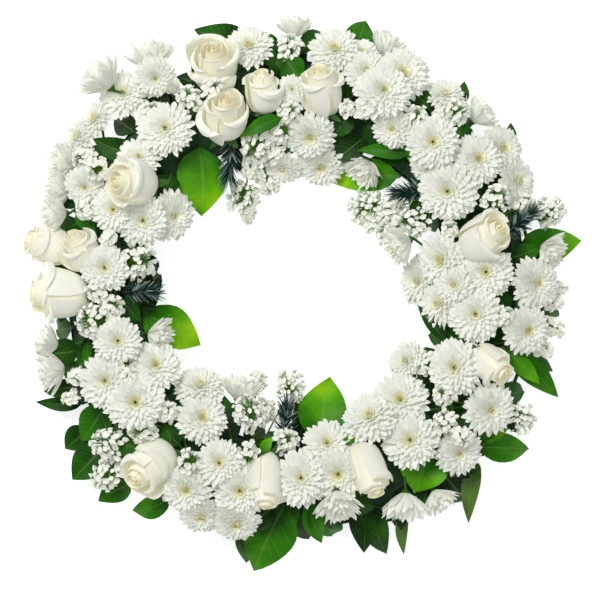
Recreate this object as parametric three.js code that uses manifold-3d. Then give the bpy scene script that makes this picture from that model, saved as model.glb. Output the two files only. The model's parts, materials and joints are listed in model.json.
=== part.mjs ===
// Funeral wreath: white roses, spray chrysanthemums and statice standing in a ring of wet floral
// foam, edged with salal leaves and a few sprigs of fir. It lies face up on its plastic tray.
// Millimetres, +Z up.
import * as THREE from "three";
import { mergeVertices } from "three/addons/utils/BufferGeometryUtils.js";
import Module from "manifold-3d";

const wasm = await Module();
wasm.setup();

// Driving dimensions of the ring
const RING_RADIUS = 196;
const FOAM_WIDTH = 70;
const FOAM_TOP = 42;
const FOAM_CHAMFER = 10;
const TRAY_WALL = 2.5;
const TRAY_HEIGHT = 16;
const RING_SEGMENTS = 24;
const FIT_GAP = 0.4;

// Driving dimensions of the dome of flowers that covers the ring
const DOME_FOOT = 9;
const DOME_RISE = 72;
const DOME_REACH = 64;
const DOME_LIMIT = 1.15;
const LEAN_SHARE = 0.8;
const CROWDING = 0.6;
const HEAD_CEILING = 112;
const LEAF_CEILING = 36;
const SETTLE_ROUNDS = 80;
const HEAD_GAP = 0.5;
const HEAD_BELLY = 0.5;
const LEAST_SHARE = 0.3;
const FREE_SHARE = 0.84;
const FULLNESS = 1.08;

// Stems and the holes they stand in
const STEM_SIDES = 3;
const SPRAY_STEM = 3.4;
const PEDICEL = 1.4;
const ROSE_STEM = 3;
const STEM_DEPTH = 24;
const FORK_RISE = { rose: 10, chrysanthemum: 15, statice: 7, fir: 11 };
const KNEE_DROP = 2;
const STEM_ROOM = 13;
const AMPLE_ROOM = 12;
const HEAD_HEART = 0.55;
const ANCHOR_LIMIT = 23;

// Salal blades
const BLADE_THICKNESS = 0.9;
const TWIG_RADIUS = 1.9;
const TWIG_HEIGHT = 25;
const TWIG_OFFSET = 7;
const TWIG_ROOT = 15;

// Places are read on a flat survey grid in millimetres, x to the right and y downwards, whose
// point GRID_CENTRE is the middle of the ring.
const GRID_CENTRE = { x: 297, y: 291 };

const UP = new THREE.Vector3(0, 0, 1);
const TURN = 2 * Math.PI;

// Rows of a flower: x, y and breadth, then, for one that doesn't simply face out of the dome,
// the compass direction and the tilt of its face in degrees, how far it is lifted, and how many
// times as long as usual it is.
const ROSES = [
  [214, 66, 60, 95, 36, 5],
  [226, 117, 58, 88, 36, 8],
  [263, 92, 44, 92, 62],
  [322, 92, 50, 103, 56, 0, 1.1],
  [133, 184, 56, 175, 42],
  [47, 246, 48, 165, 76],
  [82, 252, 46, 122, 58],
  [59, 295, 60, 178, 78, 4],
  [483, 238, 56, 30, 46],
  [491, 363, 44, 322, 62],
  [368, 467, 46, 290, 66, 0, 1.35],
  [267, 480, 42, 268, 66, 0, 1.4],
  [151, 467, 58, 218, 50],
];

const CHRYSANTHEMUM_SPRAYS = [
  [[103, 80, 46, 135, 78], [151, 58, 46, 100, 76], [123, 93, 46, 120, 16], [155, 77, 40, 285, 20],
    [172, 90, 24, 80, 30]],
  [[95, 119, 38], [78, 137, 38, 165, 50], [65, 162, 40, 172, 64], [60, 190, 40, 178, 76],
    [57, 213, 38, 180, 76], [85, 186, 38, 250, 20]],
  [[166, 129, 52], [139, 158, 40, 100, 20], [114, 210, 42], [143, 220, 50, 280, 10],
    [171, 215, 48, 340, 34]],
  [[105, 268, 46], [118, 341, 46], [49, 344, 36, 165, 84], [54, 369, 42, 190, 80],
    [156, 335, 36, 350, 72], [106, 380, 52]],
  [[155, 366, 50, 60, 22], [136, 402, 58], [200, 388, 48, 85, 44], [201, 419, 50], [240, 392, 40, 75, 78]],
  [[219, 463, 46], [187, 488, 50], [240, 490, 52], [202, 514, 44, 260, 42], [236, 521, 46, 272, 42]],
  [[327, 444, 46, 90, 18], [301, 478, 54], [338, 473, 54, 270, 10], [337, 500, 44, 275, 66]],
  [[371, 418, 54], [400, 401, 54, 90, 18], [410, 440, 54], [405, 503, 44, 268, 82],
    [438, 498, 34, 300, 78]],
  [[458, 452, 46], [489, 409, 50], [455, 368, 56], [408, 362, 40, 160, 34]],
  [[443, 260, 52], [420, 281, 48, 185, 30], [455, 285, 40], [486, 272, 52], [441, 304, 48],
    [476, 314, 54], [402, 243, 40, 205, 74]],
  [[535, 283, 50], [526, 330, 48], [549, 250, 36, 335, 66]],
  [[432, 143, 50], [432, 164, 42, 230, 24], [448, 191, 58], [477, 160, 50], [501, 149, 46, 20, 34],
    [479, 115, 36, 45, 80], [445, 95, 38, 80, 46], [516, 181, 44, 10, 46]],
  [[383, 92, 54], [402, 75, 54, 60, 24], [366, 72, 44], [387, 47, 36, 60, 72], [335, 51, 50, 95, 30],
    [362, 53, 34, 85, 42], [393, 128, 40, 230, 24]],
  [[292, 90, 28], [249, 47, 46, 95, 34], [295, 28, 34, 90, 84], [310, 135, 48], [321, 164, 48, 268, 36],
    [283, 166, 38, 250, 48], [366, 168, 36, 240, 62]],
];

// Rows of a statice head: x, y and length, then the direction and tilt of its spike.
const STATICE_SPRAYS = [
  [[98, 170, 30, 0, 6, 6]],
  [[151, 114, 28, 80, 30], [190, 99, 28, 110, 30, 6], [213, 90, 26, 60, 30, 14]],
  [[256, 145, 38, 240, 40], [283, 131, 30, 60, 20], [268, 180, 28, 285, 70], [242, 196, 36, 250, 78]],
  [[290, 47, 30, 90, 50], [290, 112, 26, 60, 20]],
  [[371, 107, 28, 30, 30], [415, 119, 32, 70, 30], [455, 113, 32, 40, 30]],
  [[497, 199, 34, 40, 30], [524, 203, 24, 40, 40], [551, 212, 34, 30, 66]],
  [[368, 207, 40, 200, 74], [415, 221, 36, 170, 40], [390, 232, 30, 220, 66], [450, 230, 22, 90, 20]],
  [[558, 289, 20, 10, 62], [504, 317, 24, 60, 30], [555, 328, 24, 350, 62], [545, 350, 20, 330, 60]],
  [[427, 365, 28, 200, 44], [443, 395, 26, 120, 30], [446, 424, 28, 180, 30], [460, 436, 24, 300, 30],
    [520, 418, 34, 350, 60]],
  [[250, 413, 40, 110, 30], [289, 388, 36, 88, 66], [286, 441, 30, 60, 20], [248, 455, 28, 300, 20]],
  [[192, 463, 32, 90, 20], [168, 412, 24, 60, 30], [143, 428, 34, 200, 30]],
  [[108, 445, 36, 150, 34], [107, 474, 36, 230, 44], [77, 377, 20, 190, 50], [70, 398, 18, 200, 60]],
  [[138, 262, 40, 20, 30], [97, 291, 24, 160, 30], [95, 320, 40, 190, 30], [125, 361, 28, 40, 14]],
];

// Rows of a fir sprig: x and y of its middle, length, direction and tilt.
const FIR_SPRIGS = [
  [230, 161, 40, 265, 74],
  [412, 192, 36, 185, 56],
  [520, 222, 34, 40, 58],
  [141, 292, 30, 0, 60],
  [286, 419, 32, 85, 58, 14],
];

// Salal stems run along the outer (1) or the inner (-1) wall of the foam, or stand in its top (0).
// Rows of a leaf: where its base and its tip lie, its width, and the heights of base and tip.
const SALAL_STEMS = [
  { wall: 1, leaves: [[248, 40, 193, 28, 24, 27, 24], [278, 44, 255, 28, 15, 24, 30],
    [300, 52, 325, 30, 22, 22, 16]] },
  { wall: 1, leaves: [[352, 55, 366, 18, 32, 26, 22], [368, 44, 388, 43, 12, 20, 18],
    [460, 104, 461, 81, 12, 25, 20]] },
  { wall: 1, leaves: [[510, 147, 508, 124, 13, 25, 22], [520, 204, 541, 208, 15, 25, 26],
    [520, 245, 584, 240, 36, 28, 22], [540, 309, 562, 316, 14, 24, 20]] },
  { wall: 1, leaves: [[505, 342, 561, 398, 28, 29, 20], [512, 345, 556, 372, 20, 20, 10],
    [482, 440, 509, 430, 16, 30, 32], [480, 448, 531, 451, 30, 22, 16]] },
  { wall: 1, leaves: [[478, 460, 470, 525, 19, 26, 22], [440, 470, 467, 504, 40, 24, 12],
    [405, 505, 405, 557, 13, 26, 22]] },
  { wall: 1, leaves: [[372, 505, 387, 557, 26, 20, 12], [358, 500, 365, 555, 28, 29, 24],
    [309, 500, 322, 545, 22, 26, 22]] },
  { wall: 1, leaves: [[286, 505, 253, 573, 54, 29, 22], [290, 500, 294, 540, 18, 18, 10],
    [240, 525, 246, 566, 20, 18, 10], [170, 500, 131, 513, 24, 26, 22]] },
  { wall: 1, leaves: [[130, 485, 96, 503, 26, 26, 20], [100, 450, 70, 481, 36, 29, 24],
    [85, 430, 62, 450, 28, 20, 12], [105, 405, 80, 442, 34, 33, 31], [80, 405, 33, 403, 15, 26, 20],
    [80, 385, 41, 392, 19, 32, 28]] },
  { wall: 0, leaves: [[428, 450, 416, 493, 50, 45, 41]] },
  { wall: 0, leaves: [[199, 146, 200, 215, 52, 46, 26]] },
  { wall: -1, leaves: [[400, 175, 326, 178, 34, 27, 20]] },
  { wall: -1, leaves: [[320, 445, 331, 378, 50, 27, 20]] },
  { wall: -1, leaves: [[142, 312, 199, 346, 44, 27, 20]] },
];

// Colours and finishes
const FINISH = {
  tray: { color: 0x1d3a24, roughness: 0.5, metalness: 0 },
  foam: { color: 0x2f5a35, roughness: 0.95, metalness: 0 },
  rose: { color: 0xf4efdd, roughness: 0.55, metalness: 0 },
  chrysanthemum: { color: 0xf6f7f4, roughness: 0.6, metalness: 0 },
  statice: { color: 0xe9ecdf, roughness: 0.8, metalness: 0 },
  salal: { color: 0x3f8a1d, roughness: 0.42, metalness: 0 },
  fir: { color: 0x14483c, roughness: 0.6, metalness: 0 },
};

// A repeatable draw between 0 and 1 for one petal of one head: the end digits of a steep sine.
const DRAW = { head: 12.9898, petal: 78.233, steepness: 43758.5453 };

function draw(head, petal) {
  const wave = Math.sin(head * DRAW.head + petal * DRAW.petal) * DRAW.steepness;
  return wave - Math.floor(wave);
}

function onGrid(x, y, z = 0) {
  return new THREE.Vector3(x - GRID_CENTRE.x, GRID_CENTRE.y - y, z);
}

function offRing(point) {
  return Math.hypot(point.x, point.y) - RING_RADIUS;
}

function atRing(angle, off, z) {
  const radius = RING_RADIUS + off;
  return new THREE.Vector3(radius * Math.cos(angle), radius * Math.sin(angle), z);
}

// The direction of a face tilted away from straight up, towards a compass direction.
function tilted(direction, tilt) {
  const face = new THREE.Spherical(1, THREE.MathUtils.degToRad(tilt), 0);
  const flat = new THREE.Vector3().setFromSpherical(face);
  const upright = new THREE.Vector3(flat.z, flat.x, flat.y);
  return upright.applyAxisAngle(UP, THREE.MathUtils.degToRad(direction));
}

// A head stands where its row says, at the dome's height there, facing out of the dome.
// A chrysanthemum that is seen from the side shows the bowl of its outer petals.
const DEPTHS = { rose: 1.05, chrysanthemum: 0.56, bowl: 0.64, statice: 1.1, fir: 1.4 };
const BOWL_FACING = 0.5;

function makeHead(kind, node, [x, y, breadth, direction, tilt, lift = 0, stretch = 1]) {
  const at = onGrid(x, y);
  const slope = THREE.MathUtils.clamp(offRing(at) / DOME_REACH, -DOME_LIMIT, DOME_LIMIT);
  const outwards = THREE.MathUtils.radToDeg(Math.atan2(at.y, at.x));
  const faces = tilt === undefined
    ? tilted(outwards, THREE.MathUtils.radToDeg(slope) * LEAN_SHARE)
    : tilted(direction, tilt);
  at.z = DOME_FOOT + DOME_RISE * Math.cos(slope) + lift;
  const reach = (FULLNESS * breadth) / 2;
  const form = kind === 'chrysanthemum' && faces.z < BOWL_FACING ? 'bowl' : kind;
  const depth = stretch * breadth * DEPTHS[form];
  return { kind, form, node, at, faces, reach, depth, walls: [] };
}

// Heads that crowd each other keep their place in plan, and one settles above the other.
function settle(heads) {
  for (let round = 0; round < SETTLE_ROUNDS; round += 1) {
    heads.forEach((first, i) => heads.slice(i + 1).forEach((second) => {
      const apart = Math.hypot(second.at.x - first.at.x, second.at.y - first.at.y);
      const need = CROWDING * (first.reach + second.reach);
      const step = second.at.z - first.at.z;
      const lacking = apart < need ? Math.sqrt(need * need - apart * apart) - Math.abs(step) : 0;
      if (lacking > 0) {
        const [upper, lower] = step >= 0 ? [second, first] : [first, second];
        upper.at.z = Math.min(upper.at.z + lacking / 4, HEAD_CEILING);
        lower.at.z = Math.max(lower.at.z - lacking / 4, headFloor(lower));
      }
    }));
  }
}

// Over the foam a head stays clear of its top; beside it, of the leaves.
function headFloor(head) {
  const over = Math.abs(offRing(head.at)) < FOAM_WIDTH / 2 + head.reach / 2;
  return (over ? FOAM_TOP + STEM_ROOM : LEAF_CEILING) + HEAD_BELLY * head.reach;
}

// Flat walls between neighbouring heads. Petals are pressed back from them, never through them.
function wallOff(heads) {
  heads.forEach((first, i) => heads.slice(i + 1).forEach((second) => {
    const apart = first.at.distanceTo(second.at);
    if (apart > first.reach + second.reach + HEAD_GAP) {
      return;
    }
    const even = (apart ** 2 + first.reach ** 2 - second.reach ** 2) / (2 * apart ** 2);
    const share = THREE.MathUtils.clamp(even, LEAST_SHARE, 1 - LEAST_SHARE);
    const normal = second.at.clone().sub(first.at).normalize();
    first.walls.push({ normal, limit: share * apart - HEAD_GAP / 2 });
    second.walls.push({ normal: normal.clone().negate(), limit: (1 - share) * apart - HEAD_GAP / 2 });
  }));
  heads.forEach((head) => {
    head.walls.push({ normal: UP.clone().negate(), limit: head.at.z - LEAF_CEILING });
  });
}

// Where a petal's point comes to rest: pulled towards the middle of its head, more the closer
// it would come to a wall.
function pressed(head, point) {
  const arm = point.clone().sub(head.at);
  const shares = head.walls.map(({ normal, limit }) => {
    const reach = arm.dot(normal);
    const free = FREE_SHARE * limit;
    if (reach <= free) {
      return 1;
    }
    const rest = limit - free;
    return (free + rest * (1 - Math.exp((free - reach) / rest))) / reach;
  });
  return head.at.clone().addScaledVector(arm, Math.min(1, ...shares));
}

// A closed skin lofted through rings of points that climb from the foot to the crown. A ring of
// one point is a pole; two rings of unequal number are laced together.
function loft(rings) {
  const points = rings.flat();
  const index = [];
  const starts = rings.map((ring, i) => rings.slice(0, i).reduce((sum, other) => sum + other.length, 0));
  const lace = (level) => {
    const [below, above] = [rings[level].length, rings[level + 1].length];
    const low = (i) => starts[level] + (i % below);
    const high = (j) => starts[level + 1] + (j % above);
    let [i, j] = [0, 0];
    const lowTurns = below > 1 ? below : 0;
    const highTurns = above > 1 ? above : 0;
    while (i < lowTurns || j < highTurns) {
      const lowNext = i < lowTurns ? (i + 0.5) / below : Infinity;
      const highNext = j < highTurns ? (j + 0.5) / above : Infinity;
      if (lowNext <= highNext) {
        index.push(low(i), low(i + 1), high(j));
        i += 1;
      } else {
        index.push(low(i), high(j + 1), high(j));
        j += 1;
      }
    }
  };
  rings.slice(1).forEach((ring, level) => lace(level));
  for (let k = 1; k + 1 < rings[0].length; k += 1) {
    index.push(0, k + 1, k);
  }
  const last = starts[rings.length - 1];
  for (let k = 1; k + 1 < rings[rings.length - 1].length; k += 1) {
    index.push(last, last + k, last + k + 1);
  }
  return solid(points, index);
}

function solid(points, index) {
  const vertProperties = new Float32Array(points.flatMap((point) => point.toArray()));
  return new wasm.Manifold(new wasm.Mesh({ numProp: 3, vertProperties, triVerts: new Uint32Array(index) }));
}

function fuse(solids) {
  return solids.reduce((whole, next) => whole.add(next));
}

// A direction square to a bent stem, so that its rings line up all the way along it. A stem that
// hardly bends takes one square to the vertical, or to X where it is nearly upright itself.
const HARDLY_BENT = 1e-3;
const NEARLY_UPRIGHT = 0.9;

function squareTo(path) {
  const [first, second] = [path[1].clone().sub(path[0]), path.at(-1).clone().sub(path.at(-2))];
  const square = first.clone().cross(second);
  if (square.length() > HARDLY_BENT * first.length() * second.length()) {
    return square.normalize();
  }
  const other = Math.abs(first.z) < NEARLY_UPRIGHT * first.length() ? UP : new THREE.Vector3(1, 0, 0);
  return other.clone().cross(first).normalize();
}

// Rings along a stem, of one radius or of one for each point.
function stemRings(path, radius, side) {
  return path.map((point, i) => {
    const along = (path[i + 1] ?? point).clone().sub(path[i - 1] ?? point).normalize();
    const across = side.clone().addScaledVector(along, -side.dot(along)).normalize();
    const third = along.clone().cross(across);
    return Array.from({ length: STEM_SIDES }, (unused, k) => point.clone()
      .addScaledVector(across, (radius[i] ?? radius) * Math.cos((TURN * k) / STEM_SIDES))
      .addScaledVector(third, (radius[i] ?? radius) * Math.sin((TURN * k) / STEM_SIDES)));
  });
}

// Whorls of a flower from its foot to its crown. Tip and notch are shares of its reach and depth,
// turn is a share of one petal, and uneven is how much the petals differ in length.
const WHORLS = {
  // A cup of long petals, a shorter layer over it, and a low crown
  chrysanthemum: [
    { tip: [1, 0.5], notch: [0.68, 0.36], turn: 0, uneven: 0.08 },
    { tip: [0.46, 0.7], notch: [0.64, 0.88], turn: 0, uneven: 0.06 },
  ],
  // The same, seen from the side: long petals rise to a wide rim round a low dome
  bowl: [
    { tip: [1, 0.76], notch: [0.76, 0.6], turn: 0, uneven: 0.08 },
    { tip: [0.5, 0.84], notch: [0.66, 0.98], turn: 0, uneven: 0.06 },
  ],
  // Five sepals under a bowl, then three whorls of petals round a deep heart
  rose: [
    { petals: 5, tip: [0.66, 0.1], notch: [0.26, 0.05], turn: 0, uneven: 0.06 },
    { petals: 5, tip: [0.86, 0.42], notch: [0.8, 0.44], turn: 0.1, uneven: 0.06 },
    { petals: 5, tip: [1, 0.74], notch: [0.84, 0.64], turn: 0.2, uneven: 0.06 },
    { petals: 5, tip: [0.72, 0.6], notch: [0.68, 0.62], turn: 0.3, uneven: 0.06 },
    { petals: 5, tip: [0.6, 0.84], notch: [0.68, 0.94], turn: 0.3, uneven: 0.06 },
    { petals: 5, tip: [0.42, 0.7], notch: [0.44, 0.74], turn: 0.4, uneven: 0.06 },
    { petals: 3, tip: [0.32, 1], notch: [0.26, 0.93], turn: 0.2, uneven: 0.06 },
  ],
  // Two tiers of papery florets that stand out of a small core, and one on top
  statice: [
    { petals: 5, tip: [0.5, 0.26], notch: [0.86, 0.5], turn: 0, uneven: 0.15 },
    { petals: 5, tip: [0.78, 0.82], notch: [0.42, 0.62], turn: 0, uneven: 0.15 },
  ],
};
const CROWN_HEIGHT = { chrysanthemum: 0.92, bowl: 0.94, rose: 0.78, statice: 1 };

// A chrysanthemum has a petal more past each of these reaches.
const FEWEST_PETALS = 7;
const PETAL_STEPS = [18, 27];

function petalsFor(reach) {
  return FEWEST_PETALS + PETAL_STEPS.filter((step) => reach > step).length;
}

// A flower's rings in its own frame: tips and notches by turns, each petal a little its own.
function flowerRings({ form, reach, depth }, salt) {
  const rings = WHORLS[form].map(({ petals = petalsFor(reach), tip, notch, turn, uneven }, level) => (
    Array.from({ length: 2 * petals }, (unused, i) => {
      const [share, height] = i % 2 ? notch : tip;
      const angle = (TURN * (i / 2 + turn)) / petals;
      const radius = share * reach * (1 + uneven * (2 * draw(salt + level, i) - 1));
      return new THREE.Vector3(radius * Math.cos(angle), radius * Math.sin(angle), height * depth);
    })));
  return [...rings, [new THREE.Vector3(0, 0, CROWN_HEIGHT[form] * depth)]];
}

// A head's rings, turned to face its way, brought to its place and pressed clear of its neighbours.
function placedRings(head, salt, side) {
  const across = side.clone().addScaledVector(head.faces, -side.dot(head.faces)).normalize();
  const third = head.faces.clone().cross(across);
  const frame = new THREE.Matrix4().makeBasis(across, third, head.faces);
  frame.setPosition(head.at.clone().addScaledVector(head.faces, -head.depth / 2));
  return flowerRings(head, salt).map((ring) => (
    ring.map((point) => pressed(head, point.applyMatrix4(frame)))));
}

function footOf(head) {
  return pressed(head, head.at.clone().addScaledVector(head.faces, -head.depth / 2));
}

// How far a stretch of stem stays from the stems already laid and from other heads.
const laid = [];

function clearance(from, to, radius, node, heads) {
  const line = new THREE.Line3(from, to);
  const ofStems = laid.filter((stem) => stem.node !== node).map((stem) => (
    Math.sqrt(line.distanceSqToLine3(stem.line)) - radius - stem.radius));
  const near = new THREE.Vector3();
  const ofHeads = heads.filter((head) => head.node !== node).map((head) => {
    line.closestPointToPoint(head.at, true, near);
    return near.distanceTo(head.at) - HEAD_HEART * head.reach - radius;
  });
  return Math.min(AMPLE_ROOM, ...ofStems, ...ofHeads);
}

// How far a stretch of stem stays outside the foam.
const FOAM_SAMPLES = 8;

function foamRoom(from, to, radius) {
  const rooms = Array.from({ length: FOAM_SAMPLES + 1 }, (unused, i) => {
    const point = from.clone().lerp(to, i / FOAM_SAMPLES);
    return Math.max(Math.abs(offRing(point)) - FOAM_WIDTH / 2, point.z - FOAM_TOP) - radius;
  });
  return Math.min(...rooms);
}

// The foot of a stem on the foam and the bend below each head are chosen among a few so that
// the stems pass each other with the most room.
const ANCHOR_ALONG = [0, 8, -8, 16, -16, 24, -24, 32, -32];
const ANCHOR_ACROSS = [0, 10, -10, 20, -20];
const ANCHOR_STEPS = ANCHOR_ALONG.flatMap((along) => ANCHOR_ACROSS.map((across) => [along, across]));
const KNEE_STEPS = [10, 15, 20, 6, 28, 36];
const BETTER = 0.2;

function layStems(node, own, heads, stemRadius, sideRadius) {
  const feet = own.map(footOf);
  const middle = feet.reduce((sum, foot) => sum.add(foot), new THREE.Vector3()).divideScalar(own.length);
  const room = (from, to) => Math.min(
    clearance(from, to, sideRadius, node, heads), foamRoom(from, to, sideRadius));
  const roomiest = (plans) => plans.reduce((best, next) => (next.room > best.room + BETTER ? next : best));
  const plan = roomiest(ANCHOR_STEPS.map(([along, across]) => {
    const off = THREE.MathUtils.clamp(offRing(middle) + across, -ANCHOR_LIMIT, ANCHOR_LIMIT);
    const angle = Math.atan2(middle.y, middle.x) + along / RING_RADIUS;
    const fork = atRing(angle, off, FOAM_TOP + FORK_RISE[own[0].kind]);
    const bottom = fork.clone().setZ(FOAM_TOP - STEM_DEPTH);
    const routes = own.map((head, i) => roomiest(KNEE_STEPS.map((drop) => {
      const foot = feet[i];
      const knee = foot.clone().addScaledVector(head.faces, -drop);
      const low = Math.abs(offRing(knee)) < FOAM_WIDTH / 2 ? fork.z - KNEE_DROP : LEAF_CEILING;
      knee.z = Math.max(knee.z, low);
      return { knee, foot, room: Math.min(room(fork, knee), room(knee, foot)) };
    })));
    const stemRoom = clearance(bottom, fork, stemRadius + 2 * FIT_GAP, node, heads);
    return { fork, bottom, routes, room: Math.min(stemRoom, ...routes.map((route) => route.room)) };
  }));
  const keep = (from, to, radius) => laid.push({ node, radius, line: new THREE.Line3(from, to) });
  keep(plan.bottom, plan.fork, stemRadius);
  plan.routes.forEach(({ knee, foot }) => {
    keep(plan.fork, knee, sideRadius);
    keep(knee, foot, sideRadius);
  });
  return plan;
}

const holes = [];

function boreFor([start, end], radius, side) {
  const along = end.clone().sub(start).normalize();
  const longer = [start.clone().addScaledVector(along, -FIT_GAP), end];
  holes.push(loft(stemRings(longer, radius + 2 * FIT_GAP, side)));
}

// One flower on a stem of its own: a single skin from the cut end to the crown.
function singleFlower([head], heads, salt) {
  const { bottom, fork, routes: [{ knee, foot }] } = layStems(
    head.node, [head], heads, ROSE_STEM, ROSE_STEM);
  const side = squareTo([bottom, fork, foot]);
  boreFor([bottom, fork], ROSE_STEM, side);
  const crown = placedRings(head, salt, side);
  return loft([...stemRings([bottom, fork, knee, foot], ROSE_STEM, side), ...crown]);
}

// The stem of a spray, which stands in the foam, up to its fork.
function trunk({ bottom, fork }) {
  const side = squareTo([bottom, fork]);
  boreFor([bottom, fork], SPRAY_STEM, side);
  return loft(stemRings([bottom, fork.clone().addScaledVector(UP, PEDICEL)], SPRAY_STEM, side));
}

// Several flowers on side stems that fork from one stem.
const HEAD_SALT = 11;

function spray(own, heads, salt) {
  const plan = layStems(own[0].node, own, heads, SPRAY_STEM, PEDICEL);
  const flowers = own.map((head, i) => {
    const { knee, foot } = plan.routes[i];
    const path = [plan.fork, knee, foot];
    const side = squareTo(path);
    const crown = placedRings(head, salt + HEAD_SALT * i, side);
    return loft([...stemRings(path, [PEDICEL / 2, PEDICEL, PEDICEL], side), ...crown]);
  });
  return fuse([trunk(plan), ...flowers]);
}

// A fir sprig: a slim twig with three-sided needles all round it, out to its tip.
const NEEDLE_TIERS = 4;
const NEEDLES_IN_TIER = 3;
const NEEDLE_LENGTH = 18;
const NEEDLE_RADIUS = 1;
const NEEDLE_TAPER = 0.6;
const NEEDLE_SPLAY = 0.8;
const NEEDLE_LEAN = 0.6;
const NEEDLE_STRAY = 0.3;
const FIRST_TIER = 0.04;
const TIER_SPAN = 0.7;
const SPRIG_RADIUS = 2.2;

function firSprig([head], heads, salt) {
  const plan = layStems(head.node, [head], heads, SPRAY_STEM, SPRIG_RADIUS);
  const [{ knee, foot }] = plan.routes;
  const path = [plan.fork, knee, foot];
  const side = squareTo(path);
  const third = head.faces.clone().cross(side);
  const tip = pressed(head, head.at.clone().addScaledVector(head.faces, head.depth / 2));
  const twig = loft([...stemRings(path, [PEDICEL / 2, SPRIG_RADIUS, SPRIG_RADIUS], side), [tip]]);
  const needles = Array.from({ length: NEEDLE_TIERS * NEEDLES_IN_TIER }, (unused, i) => {
    const tier = Math.floor(i / NEEDLES_IN_TIER);
    const root = foot.clone().lerp(tip, FIRST_TIER + (TIER_SPAN * tier) / NEEDLE_TIERS);
    const angle = TURN * ((i + (tier % 2) / 2 + NEEDLE_STRAY * draw(salt, i)) / NEEDLES_IN_TIER);
    const away = side.clone().multiplyScalar(NEEDLE_SPLAY * Math.cos(angle))
      .addScaledVector(third, NEEDLE_SPLAY * Math.sin(angle)).addScaledVector(head.faces, NEEDLE_LEAN);
    const end = pressed(head, root.clone().addScaledVector(away, NEEDLE_LENGTH));
    const radius = NEEDLE_RADIUS * (1 - (NEEDLE_TAPER * tier) / NEEDLE_TIERS);
    const [base] = stemRings([root, end], radius, squareTo([root, end]));
    return loft([base, [end]]);
  });
  return fuse([trunk(plan), twig, ...needles]);
}

// A salal blade on its flat stalk: egg-shaped with a drawn-out tip, folded a little along its
// rib, arched, and waved along its edges. Rows run from the stalk's foot to the tip.
const BLADE_STATIONS = [0.14, 0.42, 0.74];
const BLADE_OUTLINE = [0.72, 1, 0.64];
const BLADE_ARCH = 0.07;
const BLADE_FOLD = 0.16;
const BLADE_WAVE = 0.05;

function blade(foot, base, tip, width) {
  const along = tip.clone().sub(base);
  const length = along.length();
  const side = along.clone().cross(UP).normalize();
  const normal = side.clone().cross(along).normalize();
  const rows = BLADE_STATIONS.map((station, i) => {
    const half = (width / 2) * BLADE_OUTLINE[i];
    const wave = BLADE_WAVE * width * (i % 2 ? 1 : -1);
    const rib = base.clone().addScaledVector(along, station);
    rib.addScaledVector(normal, BLADE_ARCH * length * Math.sin(Math.PI * station));
    return [-1, 0, 1].map((hand) => rib.clone().addScaledVector(side, hand * half)
      .addScaledVector(normal, Math.abs(hand) * BLADE_FOLD * half + hand * wave));
  });
  const face = [foot, ...rows.flat(), tip];
  const count = face.length;
  const points = [...face, ...face.map((point) => point.clone().addScaledVector(normal, -BLADE_THICKNESS))];
  const index = [];
  const both = (a, b, c) => index.push(a, b, c, count + a, count + c, count + b);
  const rim = (a, b) => index.push(b, count + b, a, a, count + b, count + a);
  const last = count - 4;
  both(0, 2, 1);
  both(0, 3, 2);
  rim(0, 1);
  rim(3, 0);
  for (let row = 1; row < last; row += 3) {
    both(row, row + 1, row + 3);
    both(row + 1, row + 4, row + 3);
    both(row + 1, row + 2, row + 4);
    both(row + 2, row + 5, row + 4);
    rim(row, row + 3);
    rim(row + 5, row + 2);
  }
  both(last, last + 1, last + 3);
  both(last + 1, last + 2, last + 3);
  rim(last, last + 3);
  rim(last + 3, last + 2);
  return solid(points, index);
}

// A salal stem: a twig along the wall of the foam, its cut end in the foam, with leaves on stalks.
const TWIG_STEP = THREE.MathUtils.degToRad(16);
const TWIG_END = 0.012;
const STALK_LENGTH = 7;

function salalStem(node, { wall, leaves }) {
  const twigOff = wall * (FOAM_WIDTH / 2 + TWIG_OFFSET);
  const leafOff = wall * (FOAM_WIDTH / 2 + TWIG_OFFSET + STALK_LENGTH);
  const blades = leaves.map(([baseX, baseY, tipX, tipY, width, baseZ, tipZ]) => {
    const grown = onGrid(baseX, baseY);
    const angle = Math.atan2(grown.y, grown.x);
    const off = wall ? wall * Math.max(wall * offRing(grown), Math.abs(leafOff)) : offRing(grown);
    const base = atRing(angle, off, baseZ);
    const foot = wall ? atRing(angle, twigOff, TWIG_HEIGHT + BLADE_THICKNESS / 2) : base;
    return { angle, foot, base, tip: onGrid(tipX, tipY, tipZ), width };
  });
  const angles = blades.map(({ angle }) => angle).sort((one, other) => one - other);
  const stops = [angles[0] - TWIG_END, ...angles, angles.at(-1) + TWIG_END];
  const run = stops.slice(1).flatMap((stop, i) => {
    const steps = Math.ceil((stop - stops[i]) / TWIG_STEP);
    return Array.from({ length: steps }, (unused, k) => (
      atRing(stops[i] + ((stop - stops[i]) * k) / steps, twigOff, TWIG_HEIGHT)));
  });
  run.push(atRing(stops.at(-1), twigOff, TWIG_HEIGHT));
  const rootOff = wall * (FOAM_WIDTH / 2 - TWIG_ROOT);
  const root = wall
    ? [rootOff, twigOff].map((off) => atRing(angles[0], off, TWIG_HEIGHT))
    : [FOAM_TOP - TWIG_ROOT, blades[0].base.z].map((height) => blades[0].base.clone().setZ(height));
  laid.push({ node, radius: TWIG_RADIUS, line: new THREE.Line3(...root) });
  boreFor(root, TWIG_RADIUS, squareTo(root));
  const twig = wall ? [loft(stemRings(run, TWIG_RADIUS, UP))] : [];
  return fuse([
    loft(stemRings(root, TWIG_RADIUS, squareTo(root))),
    ...twig,
    ...blades.map(({ foot, base, tip, width }) => blade(foot, base, tip, width)),
  ]);
}

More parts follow.
